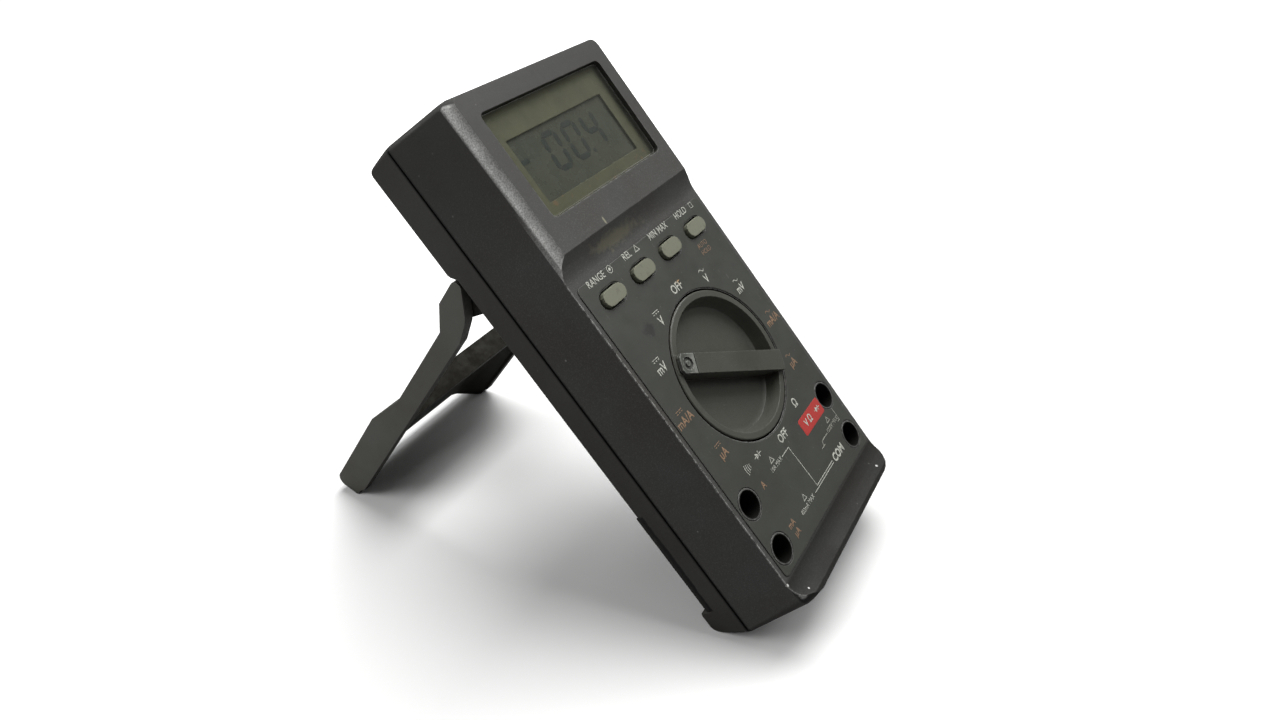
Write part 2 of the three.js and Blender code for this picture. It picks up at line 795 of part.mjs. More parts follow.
// ---- Electronics ----
function jackSleeve(x, y) {
  const z0 = mainBoardZ - 7;
  const top = faceZ - jackSleeveDepth;
  return turned(x, y, [
    [0, z0], [sleeveOuter, z0], [sleeveOuter, top - 0.5], [sleeveOuter - 0.5, top], [sleeveInner + 0.4, top],
    [sleeveInner, top - 0.8], [sleeveInner, z0 + 1.5], [0, z0 + 1.5],
  ], 20);
}

function mainBoard() {
  const { halfWidth, low, high } = mainBoardSize;
  const outline = roundedOutline(halfWidth, low, high, 3, 3, 3);
  const board = prism(outline, mainBoardZ, mainBoardZ + boardThickness);
  const holes = jacks.map(([, x, y]) => post(x, y, sleeveOuter + 0.5, 0, headZ));
  return board.subtract(joined(...holes));
}

function displayBoard() {
  const { halfWidth, low, high } = displayBoardSize;
  const outline = roundedOutline(halfWidth, low, high, 2, 2, 3);
  const board = prism(outline, displayBoardZ, displayBoardZ + boardThickness);
  const corners = screws.slice(2).map(([, x, y]) => post(x, y, bossRadius + 1, 0, headZ, 16));
  return board.subtract(joined(...corners));
}

function boardLink() {
  const { halfWidth, low, high } = linkSize;
  const z0 = mainBoardZ + boardThickness + fitGap;
  return block(-halfWidth, halfWidth, low, high, z0, displayBoardZ - fitGap);
}

function boardShield() {
  const { halfWidth, low, high } = shieldSize;
  const z1 = mainBoardZ - shieldDrop;
  return prism(roundedOutline(halfWidth, low, high, 2, 2, 3), z1 - 0.5, z1);
}

function beeper() {
  const { x, y } = beeperSpot;
  const z0 = recessZ + wall + fitGap;
  return joined(post(x, y, beeperPlateRadius, z0, z0 + 0.5), post(x, y, beeperDiscRadius, z0, z0 + 1.1));
}

const compartmentMid = (doorOpenLow + doorOpenHigh) / 2;
const batteryTop = compartmentMid + batterySize.y / 2;
const batteryBack = doorLedgeZ + 0.2;

function battery() {
  const section = roundedOutline(
    batterySize.x / 2, batteryBack, batteryBack + batterySize.z, batteryRound, batteryRound, 3,
  );
  const upright = prism(section, 0, batterySize.y).rotate([90, 0, 0]).translate([0, batteryTop, 0]);
  const centreZ = batteryBack + batterySize.z / 2;
  const studs = [-0.5, 0.5].map((side) => (
    lengthPost(side * terminalPitch, centreZ, terminalRadius, batteryTop - 1, batteryTop + terminalRise)
  ));
  return joined(upright, ...studs);
}

function batterySnap() {
  const low = batteryTop + terminalRise + fitGap;
  const centreZ = batteryBack + batterySize.z / 2;
  return block(-snapHalfWidth, snapHalfWidth, low, low + snapThickness, centreZ - 5.5, centreZ + 6);
}

function fuseTube(x, radius, length) {
  const low = compartmentMid - length / 2;
  const high = compartmentMid + length / 2;
  return joined(
    lengthPost(x, fuseZ, radius - 0.3, low + 1, high - 1),
    lengthPost(x, fuseZ, radius, low, low + fuseCap),
    lengthPost(x, fuseZ, radius, high - fuseCap, high),
  );
}

// A spring clip around a fuse's end cap, hanging from the main board.
function fuseClip(x, radius, y) {
  const inner = radius + fitGap;
  const outer = inner + clipThickness;
  const [low, high] = [y - clipWidth / 2, y + clipWidth / 2];
  const jaws = lengthPost(x, fuseZ, outer, low, high)
    .subtract(lengthPost(x, fuseZ, inner, low - 1, high + 1))
    .subtract(block(x - outer, x + outer, low - 1, high + 1, 0, fuseZ - radius / 2));
  const stem = block(x - 1.5, x + 1.5, low, high, fuseZ + inner + 0.2, mainBoardZ - fitGap);
  return joined(jaws, stem);
}

// ---- Back pieces ----
function batteryDoor() {
  const holes = doorScrewYs.map((y) => joined(
    post(0, y, screwRadius + fitGap, 0, 10, 12),
    post(0, y, screwHeadRadius + fitGap, 0, recessZ + 1, 16),
  ));
  const slot = block(-9, 9, 71, 73, 0, recessZ + 0.7);
  return prism(doorOutline(0), recessZ, doorLedgeZ - 1.3).subtract(joined(...holes, slot));
}

function doorSeal() {
  const outer = roundedOutline(doorHalfWidth - 0.5, doorLow + 0.5, doorHigh - 0.5, 2.5, 2.5, 3);
  const inner = roundedOutline(doorHalfWidth - 1.7, doorLow + 1.7, doorHigh - 1.7, 1.5, 1.5, 3);
  return prism(outer, doorLedgeZ - 1, doorLedgeZ - 0.2).subtract(prism(inner, 0, 20));
}

// A pan-head screw standing head down at the back, with a cross slot.
function screw(x, y, headZ0, headHeight, tipZ) {
  const body = turned(x, y, [
    [0, headZ0], [screwHeadRadius - 0.6, headZ0], [screwHeadRadius, headZ0 + 0.6],
    [screwHeadRadius, headZ0 + headHeight], [screwRadius, headZ0 + headHeight],
    [screwRadius, tipZ - 1], [screwRadius * 0.4, tipZ], [0, tipZ],
  ], 16);
  const half = slotWidth / 2;
  const [z0, z1] = [headZ0 - 1, headZ0 + slotDepth];
  const slot = joined(
    block(x - slotReach, x + slotReach, y - half, y + half, z0, z1),
    block(x - half, x + half, y - slotReach, y + slotReach, z0, z1),
  );
  return body.subtract(slot);
}

function hingePin(side) {
  const inner = lugInner - 1;
  const outer = bailHalfWidth - pinBlind - fitGap;
  const [x0, x1] = side < 0 ? [-outer, -inner] : [inner, outer];
  return crossPost(pivotY, pivotZ, pinRadius, x0, x1);
}

// ---- Tilt bail ----
// Drawn folded, with its pivot at the origin: legs towards -y, outside towards -z.
function bail() {
  const at = ([u, v]) => new THREE.Vector2(-u, -v);
  const round = (...values) => arc(...values).map((p) => [p.x, p.y]);
  const footInner = bailInner + footLift;
  const outline = [
    [bailReach - footSlant, footInner],
    [bailReach, footInner + 8.5],
    ...round(bailReach - footRound, bailFootOuter - footRound, footRound, 15, 90, 4),
    [bailWebStart + 2, bailFootOuter],
    [bailFlare, bailLegOuter],
    [bailElbow, bailLegOuter],
    [earShoulder, earOuter],
    ...round(earTipRadius - earTip, earOuter - earTipRadius, earTipRadius, 90, 215, 6),
    ...earNeck,
    [footLiftStart, bailInner],
    [footLiftStart + 1.5 * footLift, footInner],
  ].map(at);
  const full = sideSlab(outline, -bailHalfWidth, bailHalfWidth);
  const plate = bailHalfWidth - bailPlate;
  const webEnd = bailWebStart + bailWebThickness;
  const betweenLegs = block(-plate, plate, -bailWebStart, beyond, -beyond, beyond);
  const underWeb = block(-plate, plate, -webEnd - 1, 0, -bailWebInner, beyond);
  const skinInner = bailFootOuter - bailSkin;
  const gusset = bailHalfWidth - bailGusset;
  const section = [
    [-plate, bailInner - 1], [plate, bailInner - 1], [plate, bailInner + 1.5],
    [gusset, skinInner - 1], [gusset - 3, skinInner], [3 - gusset, skinInner],
    [-gusset, skinInner - 1], [-plate, bailInner + 1.5],
  ].map(([x, v]) => new THREE.Vector2(x, -v));
  const channel = prism(section, webEnd, bailReach + 5).rotate([90, 0, 0]);
  const holes = [-1, 1].map((side) => {
    const reach = bailHalfWidth - pinBlind;
    const [x0, x1] = side < 0 ? [-reach, 0] : [0, reach];
    return crossPost(0, 0, pinRadius + fitGap, x0, x1);
  });
  return full.subtract(joined(betweenLegs, underWeb, channel, ...holes));
}

// ---- Assembly ----
const bailFrame = new THREE.Group();
bailFrame.position.set(0, pivotY, pivotZ);
bailFrame.rotation.x = bailOpen;
const bailMesh = place(bailFrame, 'tilt_bail', bail(), look.bailPlastic);
bailFrame.updateMatrix();
const trimmedBail = toSolid(bailMesh.geometry.clone().applyMatrix4(bailFrame.matrix))
  .subtract(belowBench());
bailMesh.geometry = toGeometry(trimmedBail).applyMatrix4(bailFrame.matrix.clone().invert());
meter.add(bailFrame);

place(meter, 'front_case', frontCase(), look.frontPlastic);
place(meter, 'rear_case', rearCase(), look.rearPlastic);
place(meter, 'case_seal', caseSeal(), look.rubber);
place(meter, 'window_lens', windowLens(), look.lens);
place(meter, 'display_mask', displayMask(), look.mask);
place(meter, 'lcd_panel', lcdPanel(), look.lcd);
place(meter, 'lcd_reflector', lcdReflector(), look.steel);
place(meter, 'zebra_strip_low', zebraStrip(viewLow - 1.6), look.rubber);
place(meter, 'zebra_strip_high', zebraStrip(viewHigh + 1.6), look.rubber);
place(meter, 'face_overlay', faceOverlay(), look.overlay);
place(meter, 'range_knob', knobBody(), look.knobPlastic);
place(meter, 'knob_pointer_cap', pointerCap(), look.pointer);
place(meter, 'knob_seal', knobSeal(), look.rubber);
place(meter, 'switch_rotor', switchRotor(), look.rearPlastic);
place(meter, 'rotor_contacts', rotorContacts(), look.brass);
place(meter, 'detent_spring', detentSpring(), look.steel);
buttonXs.forEach((x, i) => place(meter, `button_${i + 1}`, pushButton(x), look.button));
place(meter, 'keypad_mat', keypadMat(), look.rubber);
for (const [name, x, y] of jacks) place(meter, name, jackSleeve(x, y), look.brass);
place(meter, 'main_board', mainBoard(), look.board);
place(meter, 'display_board', displayBoard(), look.board);
place(meter, 'board_link', boardLink(), look.rubber);
place(meter, 'board_shield', boardShield(), look.steel);
place(meter, 'beeper', beeper(), look.brass);
place(meter, 'battery', battery(), look.batteryJacket);
place(meter, 'battery_snap', batterySnap(), look.rubber);
for (const [name, x, radius, length] of fuses) {
  const reach = (length - fuseCap) / 2; // from the tube's middle to the middle of each cap
  place(meter, `fuse_${name}`, fuseTube(x, radius, length), look.ceramic);
  place(meter, `fuse_clip_${name}_low`, fuseClip(x, radius, compartmentMid - reach), look.brass);
  place(meter, `fuse_clip_${name}_high`, fuseClip(x, radius, compartmentMid + reach), look.brass);
}
place(meter, 'battery_door', batteryDoor(), look.rearPlastic);
place(meter, 'door_seal', doorSeal(), look.rubber);
doorScrewYs.forEach((y, i) => {
  place(meter, `door_screw_${i + 1}`, screw(0, y, recessZ + 0.1, 0.7, doorScrewTipZ), look.steel);
});
for (const [name, x, y] of screws) {
  place(meter, name, screw(x, y, screwSeatZ - fitGap - 2, 2, screwTipZ), look.steel);
}
[-1, 1].forEach((side, i) => {
  const hand = ['left', 'right'][i];
  place(meter, `skid_pad_${hand}`, skidPadBlock(side, fitGap), look.rubber);
  place(meter, `hinge_pin_${hand}`, hingePin(side), look.steel);
});

// Origin: centre of the footprint, on the bench.
const part = new THREE.Group();
part.add(meter);
const bounds = new THREE.Box3().setFromObject(part, true);
const centre = bounds.getCenter(new THREE.Vector3());
meter.position.set(-centre.x, -centre.y, -bounds.min.z);

export default part;
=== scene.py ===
"""Looks, printing, display, light and camera for the bench multimeter.

Millimetres on the face, metres in Blender.
"""

import json
import math

import bmesh
import bpy
from mathutils import Matrix, Vector


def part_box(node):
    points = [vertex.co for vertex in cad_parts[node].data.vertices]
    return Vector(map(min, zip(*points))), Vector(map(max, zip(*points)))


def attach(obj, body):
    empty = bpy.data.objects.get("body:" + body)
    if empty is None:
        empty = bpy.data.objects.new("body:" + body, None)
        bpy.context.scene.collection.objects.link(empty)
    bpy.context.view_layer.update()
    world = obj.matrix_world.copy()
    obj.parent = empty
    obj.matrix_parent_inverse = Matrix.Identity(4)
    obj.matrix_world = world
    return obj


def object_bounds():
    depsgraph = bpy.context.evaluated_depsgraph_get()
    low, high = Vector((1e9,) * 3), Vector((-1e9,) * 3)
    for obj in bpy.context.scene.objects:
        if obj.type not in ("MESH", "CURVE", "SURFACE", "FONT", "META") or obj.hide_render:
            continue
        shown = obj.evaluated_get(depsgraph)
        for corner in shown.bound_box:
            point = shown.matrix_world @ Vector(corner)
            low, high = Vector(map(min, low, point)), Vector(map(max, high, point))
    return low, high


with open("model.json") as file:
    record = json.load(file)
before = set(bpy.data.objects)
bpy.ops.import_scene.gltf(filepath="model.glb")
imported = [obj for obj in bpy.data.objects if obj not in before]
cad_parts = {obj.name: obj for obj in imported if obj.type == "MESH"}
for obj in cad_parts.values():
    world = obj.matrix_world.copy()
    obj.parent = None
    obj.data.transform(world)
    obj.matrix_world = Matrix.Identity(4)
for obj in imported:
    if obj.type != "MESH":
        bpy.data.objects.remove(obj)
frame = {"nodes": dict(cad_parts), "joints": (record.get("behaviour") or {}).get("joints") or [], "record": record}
cad_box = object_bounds()

MM = 0.001
JOINTS = {joint["name"]: joint for joint in frame["joints"]}

# ---- The face's own frame: x across, y up the face, z out of it, zero at the dial's centre ----
FACE_OUT = Vector(JOINTS["knob_turn"]["axis"]).normalized()
ACROSS = Vector((1, 0, 0))
UP_FACE = FACE_OUT.cross(ACROSS)
FACE = Matrix((ACROSS, UP_FACE, FACE_OUT)).transposed().to_4x4()
FACE.translation = Vector(JOINTS["knob_turn"]["pos_m"])


def face_box(node):
    """Lowest and highest corners of a CAD node in the face's frame, in millimetres."""
    inverse = FACE.inverted()
    points = [inverse @ v.co / MM for v in frame["nodes"][node].data.vertices]
    low = Vector([min(p[i] for p in points) for i in range(3)])
    high = Vector([max(p[i] for p in points) for i in range(3)])
    return low, high


def face_middle(node):
    """The middle of a CAD node's box in the face's frame, in millimetres."""
    low, high = face_box(node)
    return (low + high) / 2


# ---- Materials ----
SHADED_EDGE = 0.35  # how far shading rounds a sharp edge, in millimetres


class Graph:
    """A material's node tree, with short calls for the nodes used here. Lengths are in millimetres."""

    def __init__(self, name):
        self.material = bpy.data.materials.new(name)
        self.material.use_nodes = True
        self.nodes = self.material.node_tree.nodes
        self.links = self.material.node_tree.links
        self.shader = self.nodes["Principled BSDF"]

    def add(self, kind, inputs=None, **settings):
        """A new node with its settings and inputs."""
        node = self.nodes.new(kind)
        for key, value in settings.items():
            setattr(node, key, value)
        for key, value in (inputs or {}).items():
            self.set(node.inputs[key], value)
        return node

    def set(self, socket, value):
        """Links an input to another node's output, or gives it a value."""
        if isinstance(value, bpy.types.NodeSocket):
            self.links.new(value, socket)
        else:
            socket.default_value = value

    def surface(self, **inputs):
        """Sets the shader's inputs by name, with _ for a space."""
        for key, value in inputs.items():
            self.set(self.shader.inputs[key.replace("_", " ")], value)

    def colour(self):
        """The colour the surface has so far."""
        return self.shader.inputs["Base Color"].links[0].from_socket

    def place(self, stretch):
        """Object coordinates, stretched along each axis."""
        coordinates = self.add("ShaderNodeTexCoord").outputs["Object"]
        return self.add("ShaderNodeMapping", {"Vector": coordinates, "Scale": stretch}).outputs["Vector"]

    def noise(self, size, detail=3, stretch=(1, 1, 1)):
        """Cloudy noise whose blobs are about `size` across."""
        inputs = {
            "Vector": self.place(stretch),
            "Scale": 1 / (size * MM),
            "Detail": detail,
            "Roughness": 0.55,
        }
        return self.add("ShaderNodeTexNoise", inputs).outputs["Fac"]

    def cells(self, size, stretch=(1, 1, 1)):
        """Distance from scattered points about `size` apart."""
        inputs = {"Vector": self.place(stretch), "Scale": 1 / (size * MM)}
        return self.add("ShaderNodeTexVoronoi", inputs).outputs["Distance"]

    def ramp(self, value, low, high, bottom=0.0, top=1.0):
        """`value` from low to high becomes bottom to top, held flat outside."""
        inputs = {"Value": value, "From Min": low, "From Max": high, "To Min": bottom, "To Max": top}
        return self.add("ShaderNodeMapRange", inputs).outputs["Result"]

    def maths(self, operation, a, b=0.0):
        return self.add("ShaderNodeMath", {0: a, 1: b}, operation=operation).outputs[0]

    def mix(self, factor, a, b):
        """Colour `a` where the factor is 0, `b` where it is 1; the node's colours are sockets 6, 7 and 2."""
        return self.add("ShaderNodeMix", {0: factor, 6: a, 7: b}, data_type="RGBA").outputs[2]

    def facing(self, direction):
        """How squarely the surface faces a direction of the row frame, as it does at rest."""
        normal = self.add("ShaderNodeTexCoord").outputs["Normal"]
        node = self.add("ShaderNodeVectorMath", {0: normal, 1: direction}, operation="DOT_PRODUCT")
        return node.outputs["Value"]

    def along(self, direction):
        """Distance from the dial's centre along a direction, in millimetres."""
        place = self.add("ShaderNodeTexCoord").outputs["Object"]
        offset = self.add("ShaderNodeVectorMath", {0: place, 1: FACE.translation}, operation="SUBTRACT")
        inputs = {0: offset.outputs[0], 1: direction / MM}
        return self.add("ShaderNodeVectorMath", inputs, operation="DOT_PRODUCT").outputs["Value"]

    def sideways(self):
        """Distance from the meter's middle plane, in millimetres."""
        return self.maths("ABSOLUTE", self.along(ACROSS))

    def away(self, x, y, wide=1.0, tall=1.0):
        """Distance over the face from (x, y), in half-widths of an oval `wide` by `tall` millimetres."""
        across = self.maths("DIVIDE", self.maths("SUBTRACT", self.along(ACROSS), x), wide)
        up = self.maths("DIVIDE", self.maths("SUBTRACT", self.along(UP_FACE), y), tall)
        squared = self.maths("ADD", self.maths("MULTIPLY", across, across), self.maths("MULTIPLY", up, up))
        return self.maths("SQRT", squared)

    def spot(self, x, y, wide, tall):
        """1 on a ragged patch of the face around (x, y), in millimetres from the dial's centre."""
        ragged = self.ramp(self.noise(2.2, 4), 0.3, 0.7, 0.5, 1.3)
        return self.ramp(self.maths("MULTIPLY", self.away(x, y, wide, tall), ragged), 1.0, 0.5)

    def stain(self, x, y, wide, tall, strength, colour):
        """Stains the colour the surface has so far with a ragged patch around (x, y)."""
        patch = self.maths("MULTIPLY", self.spot(x, y, wide, tall), strength)
        self.surface(Base_Color=self.mix(patch, self.colour(), colour))

    def edges(self, reach):
        """1 along sharp convex edges, 0 on flats."""
        inputs = {"Distance": reach * MM}
        shade = self.add("ShaderNodeAmbientOcclusion", inputs, inside=True, only_local=True, samples=8)
        return self.ramp(shade.outputs["AO"], 0.95, 0.6)

    def crevices(self, reach):
        """1 in corners and gaps, 0 in the open."""
        inputs = {"Distance": reach * MM}
        shade = self.add("ShaderNodeAmbientOcclusion", inputs, samples=6)
        return self.ramp(shade.outputs["AO"], 0.85, 0.3)

    def bump(self, height, depth):
        """Bump with `depth` millimetres between low and high, over rounded edges."""
        rounded = self.add("ShaderNodeBevel", {"Radius": SHADED_EDGE * MM}, samples=4).outputs["Normal"]
        inputs = {"Height": height, "Distance": depth * MM, "Strength": 1.0, "Normal": rounded}
        node = self.add("ShaderNodeBump", inputs)
        self.set(self.shader.inputs["Normal"], node.outputs["Normal"])


def rgb(r, g, b):
    return (r, g, b, 1.0)


# Near-black used for grime in the joint between the shells and for painted shade in the jack holes.
GRIME_AND_SHADE = rgb(0.008, 0.008, 0.007)
DUST = rgb(0.1, 0.085, 0.06)
RUBBED_REACH = 0.65  # how far in from an edge the plastic is rubbed, in millimetres
CORNER_REACH = 6  # and how far out of a corner it gets dust and painted shade


def moulded_plastic(
    name, base, tint, worn, grain=0.35, roughness=0.55, rub=0.5, speckled=0.22, sides=None,
):
    """Fine moulded texture with cloudy tint, pale rubbed edges, dust and painted shade in the corners, and small
    nicks.

    With `sides` given, edges nearer the middle of the meter than that many millimetres are rubbed less.
    """
    g = Graph(name)
    cloud = g.ramp(g.noise(28, 4), 0.35, 0.65)
    colour = g.mix(cloud, base, tint)
    speckle = g.noise(grain, 2)
    colour = g.mix(g.ramp(speckle, 0.5, 0.75, 0, speckled), colour, worn)
    deep = g.crevices(CORNER_REACH)
    dust = g.maths("MULTIPLY", deep, g.ramp(g.noise(6, 4), 0.45, 0.7, 0, 0.2))
    # Painted shade: corners and gaps darkened nearly to black.
    colour = g.mix(g.maths("MULTIPLY", deep, 0.75), colour, rgb(0.012, 0.012, 0.01))
    colour = g.mix(dust, colour, DUST)
    broken = g.ramp(g.noise(1.6, 5), 0.38, 0.62)
    rubbed = g.maths("MULTIPLY", g.edges(RUBBED_REACH), broken)
    rubbed = g.maths("MULTIPLY", rubbed, rub)
    if sides:
        outer = g.ramp(g.sideways(), sides - 1, sides, 0.25, 1.0)
        rubbed = g.maths("MULTIPLY", rubbed, outer)
    colour = g.mix(rubbed, colour, worn)
    nick = g.ramp(g.cells(9), 0.05, 0.025)
    colour = g.mix(g.maths("MULTIPLY", nick, 0.35), colour, worn)
    gloss = g.ramp(g.noise(11, 4), 0.3, 0.7, roughness - 0.08, roughness + 0.1)
    g.surface(Base_Color=colour, Roughness=gloss)
    g.bump(g.maths("ADD", speckle, g.maths("MULTIPLY", g.noise(1.1, 3), 0.6)), 0.035)
    return g


JOINT_HEIGHT = (face_box("front_case")[0].z + face_box("rear_case")[1].z) / 2


def darken_joint(g):
    """Fills a shell's edge beside the joint between front and rear with grime."""
    from_joint = g.maths("ABSOLUTE", g.maths("SUBTRACT", g.along(FACE_OUT), JOINT_HEIGHT))
    g.surface(Base_Color=g.mix(g.ramp(from_joint, 1.2, 0.7), g.colour(), GRIME_AND_SHADE))


# Heights up the face between which the head turns darker, and the upper edge of the hollow at the lower end.
HEAD_DARKENING = (66, 112)
HOLLOW_EDGE = -64
# Distances from the meter's middle line between which the edges are rubbed more and the slanted strip turns pale,
# partly rubbed and partly a painted highlight.
BEVEL_STRIP = (39.8, 42)
JACKS = ("jack_amps", "jack_milliamps", "jack_volts", "jack_common")
JACK_HOLE_RADIUS = 4.7
# Stains: x and y on the face, half-width, half-height, strength and colour.
RAMP_SMUDGE = (-12, 60, 14, 2.6, 0.75, rgb(0.12, 0.113, 0.076))
RAMP_SCRATCH = (-15, 66.5, 0.4, 1.8, 0.7, rgb(0.3, 0.29, 0.2))
SMUDGE_BY_LEFT_V = (-24.5, 28.6, 3.2, 2.4, 0.7, rgb(0.02, 0.02, 0.018))
TAN_LETTER = (3, 36, 2.2, 3, 1, rgb(0.33, 0.2, 0.1))
# Bright dents: x and y on the face, and half-size.
NICKS = [(-41.4, 120.6, 0.45), (-42.8, -65.5, 0.5), (-38, -71.5, 0.45), (33, -72, 0.45)]
NICK_COLOUR = rgb(0.6, 0.6, 0.58)


def hollow_mask(g):
    """1 on the hollow at the lower end, where it faces outwards."""
    below = g.ramp(g.along(UP_FACE), HOLLOW_EDGE, HOLLOW_EDGE - 1.5)
    return g.maths("MULTIPLY", below, g.ramp(g.facing(FACE_OUT), 0.2, 0.4))


def jack_hole_mask(g):
    """1 on the walls of the four jack holes."""
    mask = 0.0
    for jack in JACKS:
        middle = face_middle(jack)
        from_middle = g.away(middle.x, middle.y)
        hole = g.ramp(from_middle, JACK_HOLE_RADIUS + 0.35, JACK_HOLE_RADIUS + 0.2)
        mask = g.maths("MAXIMUM", hole, mask)
    return mask


def bevel_mask(g):
    """1 on the slanted strip down each side of the face, broken up and grainy."""
    slanted = g.maths("ADD", g.maths("ABSOLUTE", g.facing(ACROSS)), g.facing(FACE_OUT))
    outer_side = g.ramp(g.sideways(), *BEVEL_STRIP, 0.3, 1.0)
    grain = g.ramp(g.noise(0.45, 3), 0.38, 0.6, 0.5, 1.0)
    patchy = g.ramp(g.noise(7, 3), 0.35, 0.6, 0.75, 1.0)
    strip = g.maths("MULTIPLY", g.ramp(slanted, 1.3, 1.4), outer_side)
    return g.maths("MULTIPLY", strip, g.maths("MULTIPLY", grain, patchy))


def case_plastic():
    """The front shell: bevels rubbed pale and grainy with a painted highlight, painted shade in the jack holes and
    the hollow at the end, and the head darker towards its top.
    """
    g = moulded_plastic(
        "front_plastic", rgb(0.052, 0.053, 0.05), rgb(0.044, 0.041, 0.036), rgb(0.46, 0.46, 0.44), grain=0.45,
        rub=1.0, speckled=0.09, sides=BEVEL_STRIP[1],
    )
    hollow, jack_holes = hollow_mask(g), jack_hole_mask(g)
    # The head turns darker towards its top.
    head_darkening = g.ramp(g.along(UP_FACE), *HEAD_DARKENING, 0, 0.75)
    colour = g.mix(head_darkening, g.colour(), rgb(0.026, 0.026, 0.023))
    # Painted shade: the outward-facing hollow at the lower end and the walls of the jack holes darkened.
    colour = g.mix(g.maths("MULTIPLY", hollow, 0.7), colour, rgb(0.01, 0.01, 0.009))
    colour = g.mix(jack_holes, colour, GRIME_AND_SHADE)
    dull = g.maths("MAXIMUM", hollow, jack_holes)
    # The slanted strips turn pale: partly rubbed plastic, partly a painted highlight of the light they catch.
    g.surface(
        Base_Color=g.mix(bevel_mask(g), colour, rgb(0.72, 0.72, 0.7)),
        Specular_IOR_Level=g.ramp(dull, 0, 1, 0.5, 0.12),
    )
    g.stain(*RAMP_SMUDGE)
    g.stain(*RAMP_SCRATCH)
    for x, y, size in NICKS:
        g.stain(x, y, size, size, 1, NICK_COLOUR)
    darken_joint(g)
    return g.material


PAD_BLACK_REACH = 2.0  # how far beyond the skid pads the shell is black


def rear_plastic():
    """The rear shell and its door: barely rubbed, and blackened along the outer edge of the skid pads."""
    g = moulded_plastic(
        "rear_plastic", rgb(0.046, 0.045, 0.04), rgb(0.035, 0.033, 0.029), rgb(0.12, 0.12, 0.11), rub=0.3,
    )
    low, high = face_box("skid_pad_right")
    ragged = g.ramp(g.noise(4, 3), 0.3, 0.7, -0.4, 0.4)
    height = g.maths("ADD", g.along(FACE_OUT), ragged)
    upper = high.z + PAD_BLACK_REACH
    beside = g.maths("MULTIPLY", g.ramp(height, upper, upper - 0.4), g.ramp(height, low.z - 1, low.z))
    from_pad = g.maths("ABSOLUTE", g.maths("SUBTRACT", g.along(UP_FACE), (low.y + high.y) / 2))
    half_length = (high.y - low.y) / 2
    beside = g.maths("MULTIPLY", beside, g.ramp(from_pad, half_length + 0.3, half_length - 0.3))
    blackened = g.maths("MULTIPLY", beside, g.ramp(g.sideways(), low.x - 0.3, low.x))
    g.surface(Base_Color=g.mix(blackened, g.colour(), rgb(0.002, 0.002, 0.002)))
    darken_joint(g)
    return g.material


def bail_plastic():
    """The tilt bail, darker between its legs: on their inner sides and along the upper edge of the plate."""
    g = moulded_plastic(
        "bail_plastic", rgb(0.125, 0.126, 0.112), rgb(0.105, 0.103, 0.088), rgb(0.17, 0.17, 0.155), rub=0.4,
    )
    low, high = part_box("tilt_bail")
    to_pivot = (Vector(JOINTS["bail_fold"]["pos_m"]) - Vector((0, high.y, low.z))).normalized()
    inward = g.ramp(g.maths("MULTIPLY", g.along(ACROSS), g.facing(ACROSS)), -12, -25)
    upward = g.ramp(g.facing(to_pivot), 0.85, 0.95)
    between = g.ramp(g.sideways(), high.x / MM - 2, high.x / MM - 4)
    # Darker on the legs' inner sides and on the plate's edge that faces the pivot.
    darkened = g.maths("MAXIMUM", g.maths("MULTIPLY", inward, 0.6), g.maths("MULTIPLY", upward, between))
    patchy = g.ramp(g.noise(5, 4), 0.35, 0.6, 0.82, 0.98)
    g.surface(
        Base_Color=g.mix(g.maths("MULTIPLY", darkened, patchy), g.colour(), rgb(0.008, 0.007, 0.004)),
        Specular_IOR_Level=g.ramp(darkened, 0, 1, 0.5, 0.08),
    )
    return g.material


def knob_plastic():
    """The range knob, with brown grime and painted shade in the corners of its dish."""
    g = moulded_plastic(
        "knob_plastic", rgb(0.058, 0.06, 0.048), rgb(0.048, 0.048, 0.039), rgb(0.14, 0.14, 0.12),
        roughness=0.48, rub=0.35,
    )
    # Brown grime, partly painted shade, in the corners of the dish and beside its bar.
    grime_and_shade = g.maths("MULTIPLY", g.crevices(3.5), g.ramp(g.noise(4, 4), 0.3, 0.6, 0.5, 1.0))
    g.surface(Base_Color=g.mix(grime_and_shade, g.colour(), rgb(0.018, 0.014, 0.007)))
    return g.material


def printed_film(name, base, tint):
    """The face's printed sheet: satin, with smudges, dust specks and faint scratches."""
    g = Graph(name)
    colour = g.mix(g.ramp(g.noise(18, 4), 0.35, 0.65), base, tint)
    smudge = g.ramp(g.noise(9, 5, (1, 2.2, 1)), 0.6, 0.75, 0, 0.4)
    colour = g.mix(smudge, colour, rgb(0.035, 0.033, 0.03))
    specks = g.ramp(g.cells(3.4), 0.07, 0.03, 0, 0.5)
    colour = g.mix(specks, colour, rgb(0.16, 0.16, 0.14))
    scratch = g.ramp(g.noise(1.2, 2, (1, 0.05, 0.3)), 0.7, 0.74, 0, 0.25)
    colour = g.mix(scratch, colour, rgb(0.14, 0.14, 0.13))
    colour = g.mix(g.maths("MULTIPLY", g.edges(0.2), 0.5), colour, rgb(0.14, 0.145, 0.13))
    g.surface(Base_Color=colour, Roughness=g.ramp(g.noise(7, 4), 0.3, 0.7, 0.42, 0.6))
    g.stain(*SMUDGE_BY_LEFT_V)
    g.bump(g.noise(0.3, 2), 0.012)
    return g.material


def rubbery(name, base, worn, roughness=0.75, pits=0.5):
    """Matt rubber, with a few worn patches and painted shade in its creases."""
    g = Graph(name)
    patch = g.ramp(g.noise(2.4, 4), 0.56, 0.66, 0, pits)
    colour = g.mix(patch, base, worn)
    # Painted shade in the creases.
    colour = g.mix(g.maths("MULTIPLY", g.crevices(1.5), 0.5), colour, rgb(0.03, 0.03, 0.022))
    gloss = g.ramp(g.noise(1.5, 3), 0.3, 0.7, roughness - 0.1, roughness + 0.1)
    g.surface(Base_Color=colour, Roughness=gloss)
    g.bump(g.noise(0.25, 3), 0.02)
    return g.material


